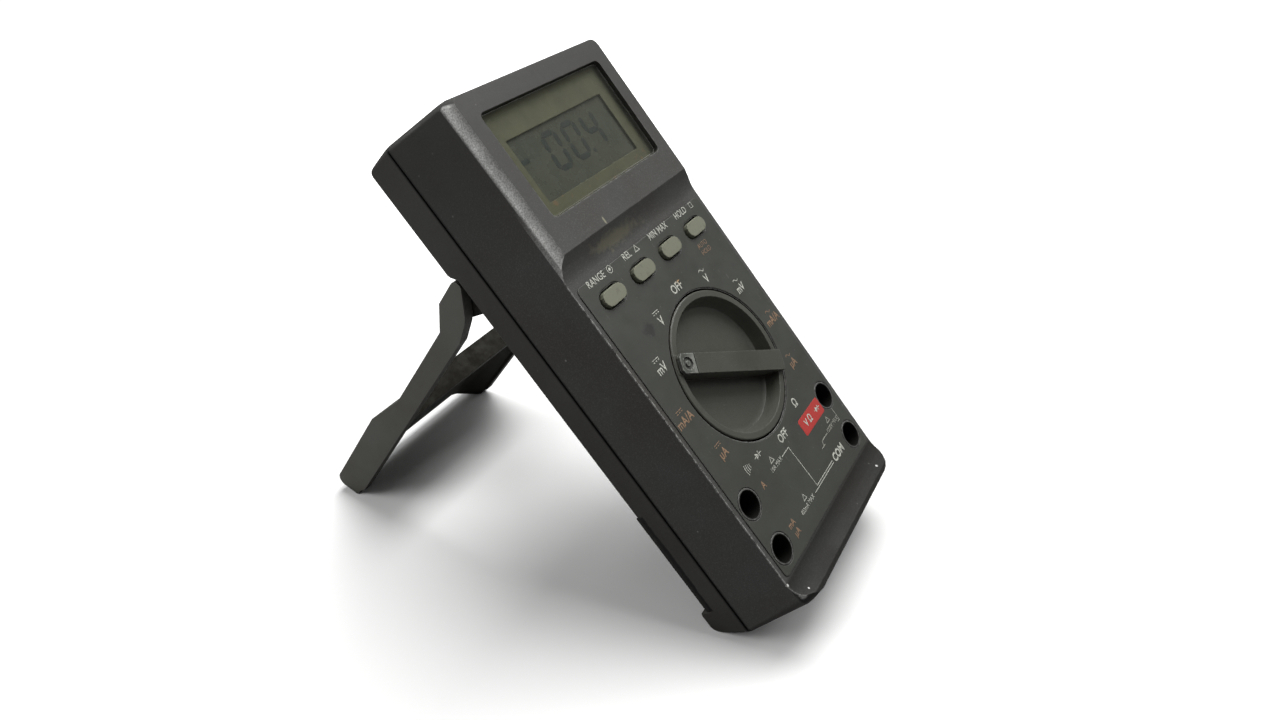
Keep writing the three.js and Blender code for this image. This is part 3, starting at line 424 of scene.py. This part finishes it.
def window_glass():
    """A thin clear window with light dust, fine scratches and a painted highlight along its edges."""
    g = Graph("window")
    haze = g.ramp(g.noise(8, 4), 0.35, 0.7, 0.01, 0.05)
    dust = g.ramp(g.cells(2.2), 0.06, 0.03, 0, 0.08)
    clear = g.add("ShaderNodeBsdfTransparent", {"Color": rgb(0.95, 0.96, 0.93)}).outputs[0]
    grazing = g.add("ShaderNodeLayerWeight", {"Blend": 0.5}).outputs["Facing"]
    shine = g.ramp(grazing, 0.3, 1.0, 0.01, 0.4)
    # Painted highlight: the window's edges turn pale and opaque, as a glint along the lens's edge.
    rim_highlight = g.maths("MULTIPLY", g.edges(0.6), 0.8)
    opaque = g.maths("ADD", g.maths("ADD", haze, dust), g.maths("ADD", shine, rim_highlight))
    g.surface(
        Base_Color=g.mix(rim_highlight, rgb(0.16, 0.16, 0.14), rgb(0.5, 0.5, 0.48)),
        Roughness=g.ramp(g.noise(1.2, 3, (1, 0.1, 1)), 0.3, 0.7, 0.08, 0.24),
    )
    blend = g.add("ShaderNodeMixShader", {0: opaque, 1: clear, 2: g.shader.outputs[0]})
    g.links.new(blend.outputs[0], g.nodes["Material Output"].inputs["Surface"])
    return g.material


MASK_STAIN = (84, 79)  # heights up the face between which the mask's stain comes in


def mask_film():
    """Olive printed mask, stained orange-brown along its lower band."""
    g = Graph("mask_film")
    colour = g.mix(g.ramp(g.noise(10, 4), 0.3, 0.7), rgb(0.095, 0.092, 0.052), rgb(0.07, 0.069, 0.042))
    blotches = g.ramp(g.noise(4, 5), 0.58, 0.68, 0, 0.75)
    stain = g.maths("MULTIPLY", blotches, g.ramp(g.along(UP_FACE), *MASK_STAIN))
    colour = g.mix(stain, colour, rgb(0.19, 0.1, 0.05))
    g.surface(Base_Color=colour, Roughness=g.ramp(g.noise(3, 3), 0.3, 0.7, 0.5, 0.7))
    g.bump(g.noise(0.4, 2), 0.01)
    return g.material


def display_glass():
    """The liquid crystal cell: grey, cloudy, slightly glossy."""
    g = Graph("lcd")
    colour = g.mix(g.ramp(g.noise(14, 3), 0.3, 0.7), rgb(0.072, 0.075, 0.062), rgb(0.06, 0.065, 0.056))
    colour = g.mix(g.ramp(g.noise(0.25, 2), 0.4, 0.8, 0, 0.15), colour, rgb(0.1, 0.104, 0.088))
    g.surface(Base_Color=colour, Roughness=g.ramp(g.noise(6, 3), 0.3, 0.7, 0.22, 0.34))
    g.bump(g.noise(0.6, 2), 0.001)
    return g.material


def metal(name, base, dull, roughness):
    """Bare or plated metal with fine grain and tarnish."""
    g = Graph(name)
    colour = g.mix(g.ramp(g.noise(3, 4), 0.4, 0.7), base, dull)
    grain = g.noise(0.2, 2)
    gloss = g.ramp(grain, 0.3, 0.7, roughness - 0.1, roughness + 0.15)
    g.surface(Base_Color=colour, Metallic=1.0, Roughness=gloss)
    g.bump(grain, 0.006)
    return g.material


def jack_brass():
    """The jack tubes: tarnished at the mouth, with painted shade that turns them nearly black and dull down the
    well.
    """
    g = Graph("jack_brass")
    colour = g.mix(g.ramp(g.noise(3, 4), 0.4, 0.7), rgb(0.1, 0.075, 0.035), rgb(0.045, 0.034, 0.02))
    # Painted shade: deeper down the well the tube turns black and loses its shine.
    depth = g.ramp(g.along(FACE_OUT), -0.2, -1.5)
    grain = g.noise(0.2)
    g.surface(
        Base_Color=g.mix(depth, colour, rgb(0.01, 0.008, 0.005)),
        Metallic=g.ramp(depth, 0, 1, 1.0, 0.0),
        Specular_IOR_Level=g.ramp(depth, 0, 1, 0.5, 0.05),
        Roughness=g.ramp(grain, 0.3, 0.7, 0.35, 0.6),
    )
    g.bump(grain, 0.006)
    return g.material


def glazed(name, base, tint, roughness=0.35):
    """A smooth coloured coat over a slightly uneven body."""
    g = Graph(name)
    colour = g.mix(g.ramp(g.noise(4, 4), 0.35, 0.65), base, tint)
    gloss = g.ramp(g.noise(2, 3), 0.3, 0.7, roughness - 0.08, roughness + 0.12)
    g.surface(Base_Color=colour, Roughness=gloss)
    g.bump(g.noise(0.6, 3), 0.01)
    return g.material


def circuit_board():
    """Green solder mask over raised copper tracks."""
    g = Graph("board")
    tracks = g.ramp(g.cells(2.2, (1, 0.35, 0.35)), 0.42, 0.46)
    colour = g.mix(tracks, rgb(0.02, 0.09, 0.035), rgb(0.04, 0.17, 0.06))
    g.surface(Base_Color=colour, Roughness=g.ramp(g.noise(4, 3), 0.3, 0.7, 0.3, 0.45))
    g.bump(tracks, 0.03)
    return g.material


def paint(name, base, worn, gone=rgb(0.055, 0.058, 0.05)):
    """Printing ink, rubbed away in places as far as `worn`, to the colour `gone`."""
    g = Graph(name)
    rubbed = g.ramp(g.noise(0.8, 5), 0.52, 0.62, 0, worn)
    patchy = g.ramp(g.noise(7, 3), 0.45, 0.65, 0.2, 1.0)
    g.surface(
        Base_Color=g.mix(g.maths("MULTIPLY", rubbed, patchy), base, gone),
        Roughness=g.ramp(g.noise(1.5, 3), 0.3, 0.7, 0.5, 0.65),
    )
    g.bump(g.noise(0.3, 2), 0.008)
    return g


def white_paint():
    """White ink, stained tan over the last letter of the upper OFF."""
    g = paint("white_ink", rgb(0.5, 0.51, 0.45), 0.5)
    g.stain(*TAN_LETTER)
    return g.material


def worn_cap():
    """The pointer's cap: rubbed pale on the side nearer the dial's centre, with painted shade in its round groove.
    """
    g = moulded_plastic(
        "pointer_cap", rgb(0.06, 0.064, 0.055), rgb(0.045, 0.047, 0.04), rgb(0.3, 0.31, 0.28), roughness=0.5,
        rub=0.8, speckled=0.1,
    )
    low, high = face_box("knob_pointer_cap")
    middle = (low + high) / 2
    inner_side = g.ramp(g.away(0, 0), middle.xy.length + 0.5, middle.xy.length - 1.5)
    top = g.ramp(g.along(FACE_OUT), high.z - 0.5, high.z - 0.3)
    patchy = g.ramp(g.noise(1.5, 4), 0.3, 0.6, 0.4, 1.0)
    rubbed = g.maths("MULTIPLY", g.maths("MULTIPLY", inner_side, top), patchy)
    g.surface(Base_Color=g.mix(rubbed, g.colour(), rgb(0.2, 0.205, 0.185)))
    return g.material


MATERIALS = {
    "front_plastic": case_plastic(),
    "rear_plastic": rear_plastic(),
    "bail_plastic": bail_plastic(),
    "overlay_film": printed_film("overlay_film", rgb(0.048, 0.051, 0.043), rgb(0.042, 0.044, 0.037)),
    "knob_plastic": knob_plastic(),
    "pointer_cap": worn_cap(),
    "switch_plastic": moulded_plastic(
        "switch_plastic", rgb(0.06, 0.06, 0.055), rgb(0.05, 0.05, 0.045), rgb(0.12, 0.12, 0.11),
    ).material,
    "button_rubber": rubbery("button_rubber", rgb(0.165, 0.17, 0.122), rgb(0.1, 0.1, 0.075), 0.68, 0.45),
    "black_rubber": rubbery("black_rubber", rgb(0.012, 0.012, 0.011), rgb(0.03, 0.03, 0.028)),
    "window": window_glass(),
    "mask_film": mask_film(),
    "lcd": display_glass(),
    "reflector": metal("reflector", rgb(0.6, 0.6, 0.6), rgb(0.45, 0.45, 0.44), 0.35),
    "board": circuit_board(),
    "brass": metal("brass", rgb(0.5, 0.36, 0.13), rgb(0.26, 0.18, 0.08), 0.35),
    "jack_brass": jack_brass(),
    "screw_steel": metal("screw_steel", rgb(0.3, 0.3, 0.3), rgb(0.16, 0.15, 0.13), 0.4),
    "pin_steel": metal("pin_steel", rgb(0.42, 0.42, 0.43), rgb(0.25, 0.24, 0.22), 0.3),
    "fuse_ceramic": glazed("fuse_ceramic", rgb(0.68, 0.64, 0.53), rgb(0.58, 0.54, 0.44)),
    "battery_jacket": glazed("battery_jacket", rgb(0.03, 0.03, 0.034), rgb(0.05, 0.04, 0.03), 0.3),
}
WHITE_INK = white_paint()
FAINT_INK = paint("faint_ink", rgb(0.36, 0.36, 0.31), 0.5).material
ORANGE_INK = paint("orange_ink", rgb(0.27, 0.17, 0.105), 0.65).material
RED_INK = paint("red_ink", rgb(0.4, 0.035, 0.03), 0.12, rgb(0.3, 0.05, 0.04)).material
SEGMENT_INK = paint("segment_ink", rgb(0.003, 0.01, 0.012), 0.15, rgb(0.03, 0.037, 0.036)).material


# ---- CAD nodes: rounded edges and their slot's material ----
EDGE_RADIUS = {
    "front_case": 0.6,
    "rear_case": 0.5,
    "tilt_bail": 0.6,
    "range_knob": 0.35,
    "knob_pointer_cap": 0.25,
    "face_overlay": 0.08,
    "window_lens": 0.25,
    "battery_door": 0.3,
}
DEFAULT_EDGE_RADIUS = 0.15


def soften(node, radius):
    """Rounds a CAD node's edges for the looks; its own mesh stays as it is."""
    weld = node.modifiers.new("weld", "WELD")
    weld.merge_threshold = 0.001 * MM
    bevel = node.modifiers.new("bevel", "BEVEL")
    bevel.width = radius * MM
    bevel.segments = 3
    bevel.limit_method = "ANGLE"
    bevel.angle_limit = math.radians(28)
    bevel.miter_outer = "MITER_ARC"
    node.modifiers.new("flat_faces", "WEIGHTED_NORMAL").weight = 100
    node.data.shade_smooth()


def dress_cad_nodes():
    """Gives each CAD node its slot's material, or tarnished brass to the jack tubes, and rounded edges."""
    for subpart in frame["record"]["subparts"]:
        node = frame["nodes"][subpart["node"]]
        finish = "jack_brass" if node.name in JACKS else subpart["material_slot"]
        for slot in node.material_slots:
            slot.material = MATERIALS[finish]
        soften(node, EDGE_RADIUS.get(node.name, DEFAULT_EDGE_RADIUS))


# ---- Printing ----
SUNK = 0.02  # how far a print reaches below its surface
CAPITAL_HEIGHT = 0.72  # of the built-in font at size 1
STROKE = 0.3
FINE_STROKE = 0.28
HAIRLINE = 0.25


class Print:
    """Flat marks gathered into one thin mesh on the face. Places are millimetres from the dial's centre."""

    def __init__(self, surface, thickness=0.04):
        self.mesh = bmesh.new()
        self.low = surface - SUNK
        self.high = surface + thickness

    def shape(self, points):
        """A flat outline, anticlockwise."""
        low = [self.mesh.verts.new((x, y, self.low)) for x, y in points]
        high = [self.mesh.verts.new((x, y, self.high)) for x, y in points]
        self.mesh.faces.new(high)
        self.mesh.faces.new(low[::-1])
        for i in range(len(points)):
            j = (i + 1) % len(points)
            self.mesh.faces.new((low[i], low[j], high[j], high[i]))

    def line(self, points, width=STROKE, closed=False):
        """A stroke of even width with mitred corners."""
        path = [Vector(p) for p in points]
        count = len(path)
        left, right = [], []
        for i, here in enumerate(path):
            before = path[i - 1] if closed or i else here
            after = path[(i + 1) % count] if closed or i < count - 1 else here
            into = (here - before) if here != before else (after - here)
            out = (after - here) if after != here else (here - before)
            normal = (into.normalized() + out.normalized()).normalized().orthogonal()
            reach = width / 2 / max(0.4, normal.dot(out.normalized().orthogonal()))
            left.append(here + normal * reach)
            right.append(here - normal * reach)
        for i in range(count if closed else count - 1):
            j = (i + 1) % count
            self.shape([right[i], right[j], left[j], left[i]])

    def text(self, body, x, y, height, stretch=0.85, bold=0.02):
        """Centred lettering with capitals `height` tall."""
        curve = bpy.data.curves.new("lettering", "FONT")
        curve.body = body
        curve.align_x = "CENTER"
        curve.align_y = "CENTER"
        curve.offset = bold
        curve.extrude = 0.5
        curve.resolution_u = 3
        holder = bpy.data.objects.new("lettering", curve)
        bpy.context.scene.collection.objects.link(holder)
        graph = bpy.context.evaluated_depsgraph_get()
        letters = bpy.data.meshes.new_from_object(holder.evaluated_get(graph))
        scale = height / CAPITAL_HEIGHT
        middle = (self.low + self.high) / 2
        size = Matrix.Diagonal((scale * stretch, scale, self.high - self.low, 1))
        letters.transform(Matrix.Translation((x, y, middle)) @ size)
        self.mesh.from_mesh(letters)
        bpy.data.objects.remove(holder)
        bpy.data.curves.remove(curve)
        bpy.data.meshes.remove(letters)

    def finish(self, name, material):
        """Makes the piece, which rides on the meter's body."""
        bmesh.ops.remove_doubles(self.mesh, verts=self.mesh.verts, dist=0.0005)
        bmesh.ops.recalc_face_normals(self.mesh, faces=self.mesh.faces)
        self.mesh.transform(FACE @ Matrix.Scale(MM, 4))
        mesh = bpy.data.meshes.new(name)
        self.mesh.to_mesh(mesh)
        self.mesh.free()
        mesh.materials.append(material)
        piece = bpy.data.objects.new(name, mesh)
        bpy.context.scene.collection.objects.link(piece)
        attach(piece, "meter")


def circle(x, y, radius, start=0, end=360, steps=16):
    """Points along an arc, in degrees from +x."""
    turn = [math.radians(start + (end - start) * i / steps) for i in range(steps + 1)]
    return [(x + radius * math.cos(a), y + radius * math.sin(a)) for a in turn]


def rounded_box(x0, x1, y0, y1, radius):
    """The outline of an upright box with round corners."""
    corners = [
        (x1 - radius, y1 - radius),
        (x0 + radius, y1 - radius),
        (x0 + radius, y0 + radius),
        (x1 - radius, y0 + radius),
    ]
    outline = []
    for i, (x, y) in enumerate(corners):
        outline += circle(x, y, radius, 90 * i, 90 * i + 90, 4)
    return outline


def diode_mark(sheet, x, y, size):
    """A diode symbol pointing to +x."""
    half = size / 2
    bar = x + half * 0.8
    sheet.line([(x - size, y), (x + size, y)])
    sheet.shape([(x - half, y - half), (x + half * 0.7, y), (x - half, y + half)])
    sheet.line([(bar, y - half), (bar, y + half)])


def direct_mark(sheet, x, y):
    """The sign for direct current: a long dash over three short ones."""
    rise, long_half, short_half, pitch = 0.4, 1.8, 0.396, 1.368
    sheet.line([(x - long_half, y + rise), (x + long_half, y + rise)], FINE_STROKE)
    for centre in (x - pitch, x, x + pitch):
        sheet.line([(centre - short_half, y - rise), (centre + short_half, y - rise)], FINE_STROKE)


def alternating_mark(sheet, x, y):
    """The sign for alternating current: one wave."""
    width, height, steps = 3.4, 0.55, 10
    parts = [i / steps for i in range(steps + 1)]
    sheet.line([(x + width * (part - 0.5), y + height * math.sin(2 * math.pi * part)) for part in parts])


def beeper_mark(sheet, x, y):
    """The sign for the continuity sound: four waves spreading to the left, then a diode."""
    for radius in (2.3, 3.3, 4.3, 5.3):
        sheet.line(circle(x - 4.6, y, radius, 158, 202, 5), FINE_STROKE)
    diode_mark(sheet, x - 0.4, y, 2.4)


def small_triangle(sheet, x, y, size=1.4):
    """A plain triangle standing on its base."""
    sheet.line(circle(x, y, size, 90, 330, 2), FINE_STROKE, closed=True)


OVERLAY_TOP = face_box("face_overlay")[1].z
RED_TAG_THICKNESS = 0.03
DIAL = [
    ("OFF", None, "white"), ("V", "alternating", "white"), ("mV", "alternating", "white"),
    ("mA/A", "alternating", "orange"), ("µA", "alternating", "orange"), ("Ω", None, "white"),
    ("OFF", None, "white"), (None, "beeper", "white"), ("µA", "direct", "orange"),
    ("mA/A", "direct", "orange"), ("mV", "direct", "white"), ("V", "direct", "white"),
]
# From the dial's centre to its labels: at the top and bottom, and at the sides.
DIAL_TALL, DIAL_WIDE = 33, 36
DIAL_LETTERS = 3.3
MARK_RISE, LETTER_DROP = 2.4, 1.2  # a label's mark and its letters, from the label's place


def dial_legend(sheets):
    """Twelve labels clockwise from the top, standing upright around the knob."""
    for i, (text, mark, ink) in enumerate(DIAL):
        angle = math.radians(90 - 360 / len(DIAL) * i)
        away = DIAL_TALL + (DIAL_WIDE - DIAL_TALL) * math.cos(angle) ** 2
        x, y = away * math.cos(angle), away * math.sin(angle)
        sheet = sheets[ink]
        if mark == "beeper":
            beeper_mark(sheet, x, y)
            continue
        sheet.text(text, x, y - (LETTER_DROP if mark else 0), DIAL_LETTERS)
        if mark == "direct":
            direct_mark(sheet, x, y + MARK_RISE)
        if mark == "alternating":
            alternating_mark(sheet, x, y + MARK_RISE)


BUTTON_WORDS = ("RANGE", "REL", "MIN MAX", "HOLD")
WORD_LETTERS = 2.6
WORD_RISE = 3.6  # from a button's upper edge to its word
MARK_AFTER_WORD = 6  # from a button's middle to its mark
SMALL_WORD_LETTERS = 1.9


def button_legend(sheets):
    """A word above each button, and a small mark after three of them."""
    sheet = sheets["white"]
    for i, word in enumerate(BUTTON_WORDS):
        x = face_middle(f"button_{i + 1}").x
        y = face_box(f"button_{i + 1}")[1].y + WORD_RISE
        room_for_mark = 0 if word == "MIN MAX" else 2.2
        sheet.text(word, x - room_for_mark, y, WORD_LETTERS, 0.84, 0.012)
        end = x + MARK_AFTER_WORD
        if word == "RANGE":
            sheet.line(circle(end, y, 1.3)[:-1], closed=True)
            sheet.shape(circle(end, y, 0.6, steps=8)[:-1])
        if word == "REL":
            small_triangle(sheet, end - 2, y - 0.2, 1.5)
        if word == "HOLD":
            box = [(end - 0.9, y - 1), (end + 0.9, y - 1), (end + 0.9, y + 1), (end - 0.9, y + 1)]
            sheet.line(box, HAIRLINE, closed=True)
    x, y = face_middle("button_4").x - 2, face_box("button_4")[0].y
    for word, drop in (("AUTO", 2.8), ("HOLD", 5.6)):
        sheets["orange"].text(word, x, y - drop, SMALL_WORD_LETTERS, 0.9, 0)


LIMIT_LETTERS = 1.8  # height of the small print that states a jack's limit
# Two lines run to the common jack: one from the amps limit, level and then slanting down, and one below it.
LINE_START, LINE_LEVEL = 27.5, 6  # the first line's start, right of the amps jack, and its level stretch
LINE_FOOT, LINE_END = 35.4, 19.5  # the foot of its slant and both lines' ends, left of the common jack


def current_legend(sheets):
    """Names beside the current jacks and the common one, and the two lines that pair them."""
    white, orange = sheets["white"], sheets["orange"]
    amps, milliamps, common = (face_middle(f"jack_{name}") for name in ("amps", "milliamps", "common"))
    orange.text("A", amps.x + 11, amps.y - 0.3, 2.8)
    orange.text("mA", milliamps.x + 11, milliamps.y + 1.7, 2.5)
    orange.text("µA", milliamps.x + 11, milliamps.y - 1.9, 2.5)
    white.text("COM", common.x - 13.6, common.y + 0.4, 3.3, 0.88, 0.035)
    rail = common.y + 0.6
    start, foot, end = amps.x + LINE_START, common.x - LINE_FOOT, common.x - LINE_END
    slant = [(start + LINE_LEVEL, amps.y), (foot + 0.2, rail + 0.3)]
    white.line([(start, amps.y), *slant, (end, rail + 0.3)])
    white.line([(foot - 3.2, rail - 0.6), (end, rail - 0.6)])
    white.text("10A MAX", start - 4.8, amps.y, LIMIT_LETTERS, bold=0)
    white.text("400mA MAX", foot - 10.4, rail - 0.5, LIMIT_LETTERS, bold=0)
    small_triangle(white, start - 5.5, amps.y + 2.6)
    small_triangle(white, foot - 9.6, rail + 2.2)


def voltage_limit(sheet):
    """The rubbed limit left of the voltage jack, and the lines that lead from it."""
    x, y = face_middle("jack_volts").xy
    sheet.text("1000V MAX", x - 6.6, y - 10, LIMIT_LETTERS, bold=0)
    small_triangle(sheet, x - 7.3, y - 7.2)
    sheet.line([(x - 12.4, y - 10.2), (x - 17.6, y - 10.2), (x - 18.8, y - 12)], FINE_STROKE)
    sheet.line([(x - 20.4, y - 12), (x - 17.2, y - 12)], FINE_STROKE)
    sheet.line([(x - 0.8, y - 5.9), (x - 0.8, y - 11.4), (x - 2.4, y - 11.4)], FINE_STROKE)


def red_tag():
    """The red patch that names the voltage and resistance jack, ending at the jack's ring."""
    volts = face_middle("jack_volts")
    left, right = volts.x - 23.4, volts.x - 5.2
    bottom, top = volts.y - 4, volts.y + 2.7
    middle = (bottom + top) / 2
    patch = Print(OVERLAY_TOP, RED_TAG_THICKNESS)
    patch.shape(rounded_box(left, right, bottom, top, 0.8))
    patch.finish("volts_jack_tag", RED_INK)
    marks = Print(OVERLAY_TOP + RED_TAG_THICKNESS, RED_TAG_THICKNESS)
    marks.text("V Ω", left + 6.2, middle, 3)
    diode_mark(marks, left + 14.6, middle, 2.2)
    marks.finish("volts_jack_marks", WHITE_INK)


def printing():
    """All the ink on the face: one piece for each colour of legend, and the red tag."""
    sheets = {ink: Print(OVERLAY_TOP) for ink in ("white", "faint", "orange")}
    dial_legend(sheets)
    button_legend(sheets)
    current_legend(sheets)
    voltage_limit(sheets["faint"])
    sheets["white"].finish("white_legend", WHITE_INK)
    sheets["faint"].finish("rubbed_legend", FAINT_INK)
    sheets["orange"].finish("orange_legend", ORANGE_INK)
    red_tag()


# ---- Display digits ----
SEGMENTS = {"0": "abcdef", "4": "fgbc"}
DIGIT_WIDTH, DIGIT_HEIGHT = 6.6, 12.6
SEGMENT_THICKNESS = 2.1
SEGMENT_GAP = 0.15  # left free at each end of a segment
DIGIT_LEAN = 0.09  # sideways per millimetre of height
FIRST_DIGIT, DIGIT_PITCH = -8.6, 11.2
READING_RISE = 1.8  # of the reading's middle above the reflector's
POINT_PLACE, POINT_RADIUS = 8.2, 0.9


def digit_bars():
    """Each segment of a seven-segment digit as (x, y, length, turned upright)."""
    x, y = DIGIT_WIDTH / 2, DIGIT_HEIGHT / 4
    level = {"a": (0, 2 * y), "g": (0, 0), "d": (0, -2 * y)}
    upright = {"b": (x, y), "c": (x, -y), "f": (-x, y), "e": (-x, -y)}
    bars = {key: (*middle, DIGIT_WIDTH, False) for key, middle in level.items()}
    bars.update({key: (*middle, DIGIT_HEIGHT / 2, True) for key, middle in upright.items()})
    return bars


def draw_digit(sheet, figure, centre_x, centre_y):
    """Segments with pointed ends, leaning a little to the right."""
    bars = digit_bars()
    half = SEGMENT_THICKNESS / 2
    for key in SEGMENTS[figure]:
        x, y, length, upright = bars[key]
        end = length / 2 - SEGMENT_GAP
        shoulder = end - half
        lower = [(-end, 0), (-shoulder, -half), (shoulder, -half)]
        outline = lower + [(-u, -v) for u, v in lower]
        if upright:
            outline = [(-v, u) for u, v in outline]
        sheet.shape([(centre_x + x + u + DIGIT_LEAN * (y + v), centre_y + y + v) for u, v in outline])


def display():
    """A faint reading on the liquid crystal, with one small sign at the left."""
    sheet = Print(face_box("lcd_panel")[1].z, 0.03)
    y = face_middle("lcd_reflector").y + READING_RISE
    for i, figure in enumerate("004"):
        draw_digit(sheet, figure, FIRST_DIGIT + DIGIT_PITCH * i, y)
    sheet.shape(circle(POINT_PLACE, y - DIGIT_HEIGHT / 2, POINT_RADIUS, steps=10)[:-1])
    left = face_box("lcd_reflector")[0].x
    sheet.line([(left + 0.5, y + 1.6), (left + 4.8, y + 1.6)], 1.7)
    sheet.finish("display_digits", SEGMENT_INK)


# ---- Floor, light and camera ----
FLOOR_REACH = 6  # metres each way
FLOOR_BOUNCE = 0.15  # the floor lights the dark case less than its pale colour would
# Metres from the row frame's zero between which the floor turns from shadowed to evenly pale.
PALE_START, PALE_FULL = 0.15, 0.8
AMBIENT = 0.16  # the surroundings as the meter sees them
BACKDROP = 1.0  # and as the camera does


def stage():
    """A large pale floor, evenly pale beyond the meter's shadow."""
    g = Graph("floor")
    pale = g.mix(g.ramp(g.noise(180, 3), 0.3, 0.7), rgb(0.9, 0.9, 0.895), rgb(0.88, 0.88, 0.875))
    seen = g.add("ShaderNodeLightPath").outputs["Is Camera Ray"]
    place = g.add("ShaderNodeTexCoord").outputs["Object"]
    reach = g.add("ShaderNodeVectorMath", {0: place}, operation="LENGTH").outputs["Value"]
    g.surface(
        Base_Color=g.mix(seen, rgb(*[FLOOR_BOUNCE] * 3), pale),
        Roughness=0.9,
        Emission_Color=pale,
        Emission_Strength=g.maths("MULTIPLY", seen, g.ramp(reach, PALE_START, PALE_FULL, 0, BACKDROP)),
    )
    sheet = bmesh.new()
    bmesh.ops.create_grid(sheet, x_segments=2, y_segments=2, size=FLOOR_REACH)
    mesh = bpy.data.meshes.new("floor")
    sheet.to_mesh(mesh)
    sheet.free()
    mesh.materials.append(g.material)
    floor = bpy.data.objects.new("floor", mesh)
    bpy.context.scene.collection.objects.link(floor)


def backdrop():
    """Soft light from all round, seen by the camera as a pale background."""
    world = bpy.data.worlds.new("studio")
    world.use_nodes = True
    nodes, links = world.node_tree.nodes, world.node_tree.links
    background = nodes["Background"]
    background.inputs["Color"].default_value = rgb(1, 1, 1)
    strength = nodes.new("ShaderNodeMapRange")
    strength.inputs["To Min"].default_value = AMBIENT
    strength.inputs["To Max"].default_value = BACKDROP
    links.new(nodes.new("ShaderNodeLightPath").outputs["Is Camera Ray"], strength.inputs["Value"])
    links.new(strength.outputs["Result"], background.inputs["Strength"])
    bpy.context.scene.world = world


CENTRE = (Vector(cad_box[0]) + Vector(cad_box[1])) / 2

# Lamps that look at the meter's centre: name, place from there and width in metres, and power in watts.
LAMPS = [
    ("overhead", (0.6, -0.1, 1.4), 1.1, 33),
    ("front", (0.35, -0.9, 1.0), 0.6, 4),
    ("back", (-0.8, 0.8, 0.8), 0.8, 8),
]


def lights():
    """A broad lamp overhead on the right, a smaller one high in front, and a soft one behind."""
    for name, offset, size, power in LAMPS:
        light = bpy.data.lights.new(name, "AREA")
        light.size = size
        light.energy = power
        holder = bpy.data.objects.new(name, light)
        holder.location = CENTRE + Vector(offset)
        holder.rotation_euler = (-Vector(offset)).to_track_quat("-Z", "Y").to_euler()
        bpy.context.scene.collection.objects.link(holder)


VIEW_AZIMUTH = -56.3
VIEW_ELEVATION = 31.4
VIEW_ROLL = -6.4
VIEW_DISTANCE = 0.3354
AIM_FROM_CENTRE = Vector((3.3, -25.6, -18.7)) * MM
LENS = 24.44
SENSOR_WIDTH = 36


def camera():
    """Looks down at the meter from its left, close and wide, leaning a little."""
    azimuth, elevation = math.radians(VIEW_AZIMUTH), math.radians(VIEW_ELEVATION)
    forward = Vector((
        -math.sin(azimuth) * math.cos(elevation),
        math.cos(azimuth) * math.cos(elevation),
        -math.sin(elevation),
    ))
    aim = CENTRE + AIM_FROM_CENTRE
    data = bpy.data.cameras.new("camera")
    data.lens = LENS
    data.sensor_width = SENSOR_WIDTH
    data.clip_start = 0.01
    holder = bpy.data.objects.new("camera", data)
    level = forward.to_track_quat("-Z", "Y").to_matrix().to_4x4()
    roll = Matrix.Rotation(math.radians(VIEW_ROLL), 4, "Z")
    holder.matrix_world = Matrix.Translation(aim - forward * VIEW_DISTANCE) @ level @ roll
    bpy.context.scene.collection.objects.link(holder)
    bpy.context.scene.camera = holder


dress_cad_nodes()
printing()
display()
stage()
backdrop()
lights()
camera()
bpy.context.scene.view_settings.view_transform = "Standard"
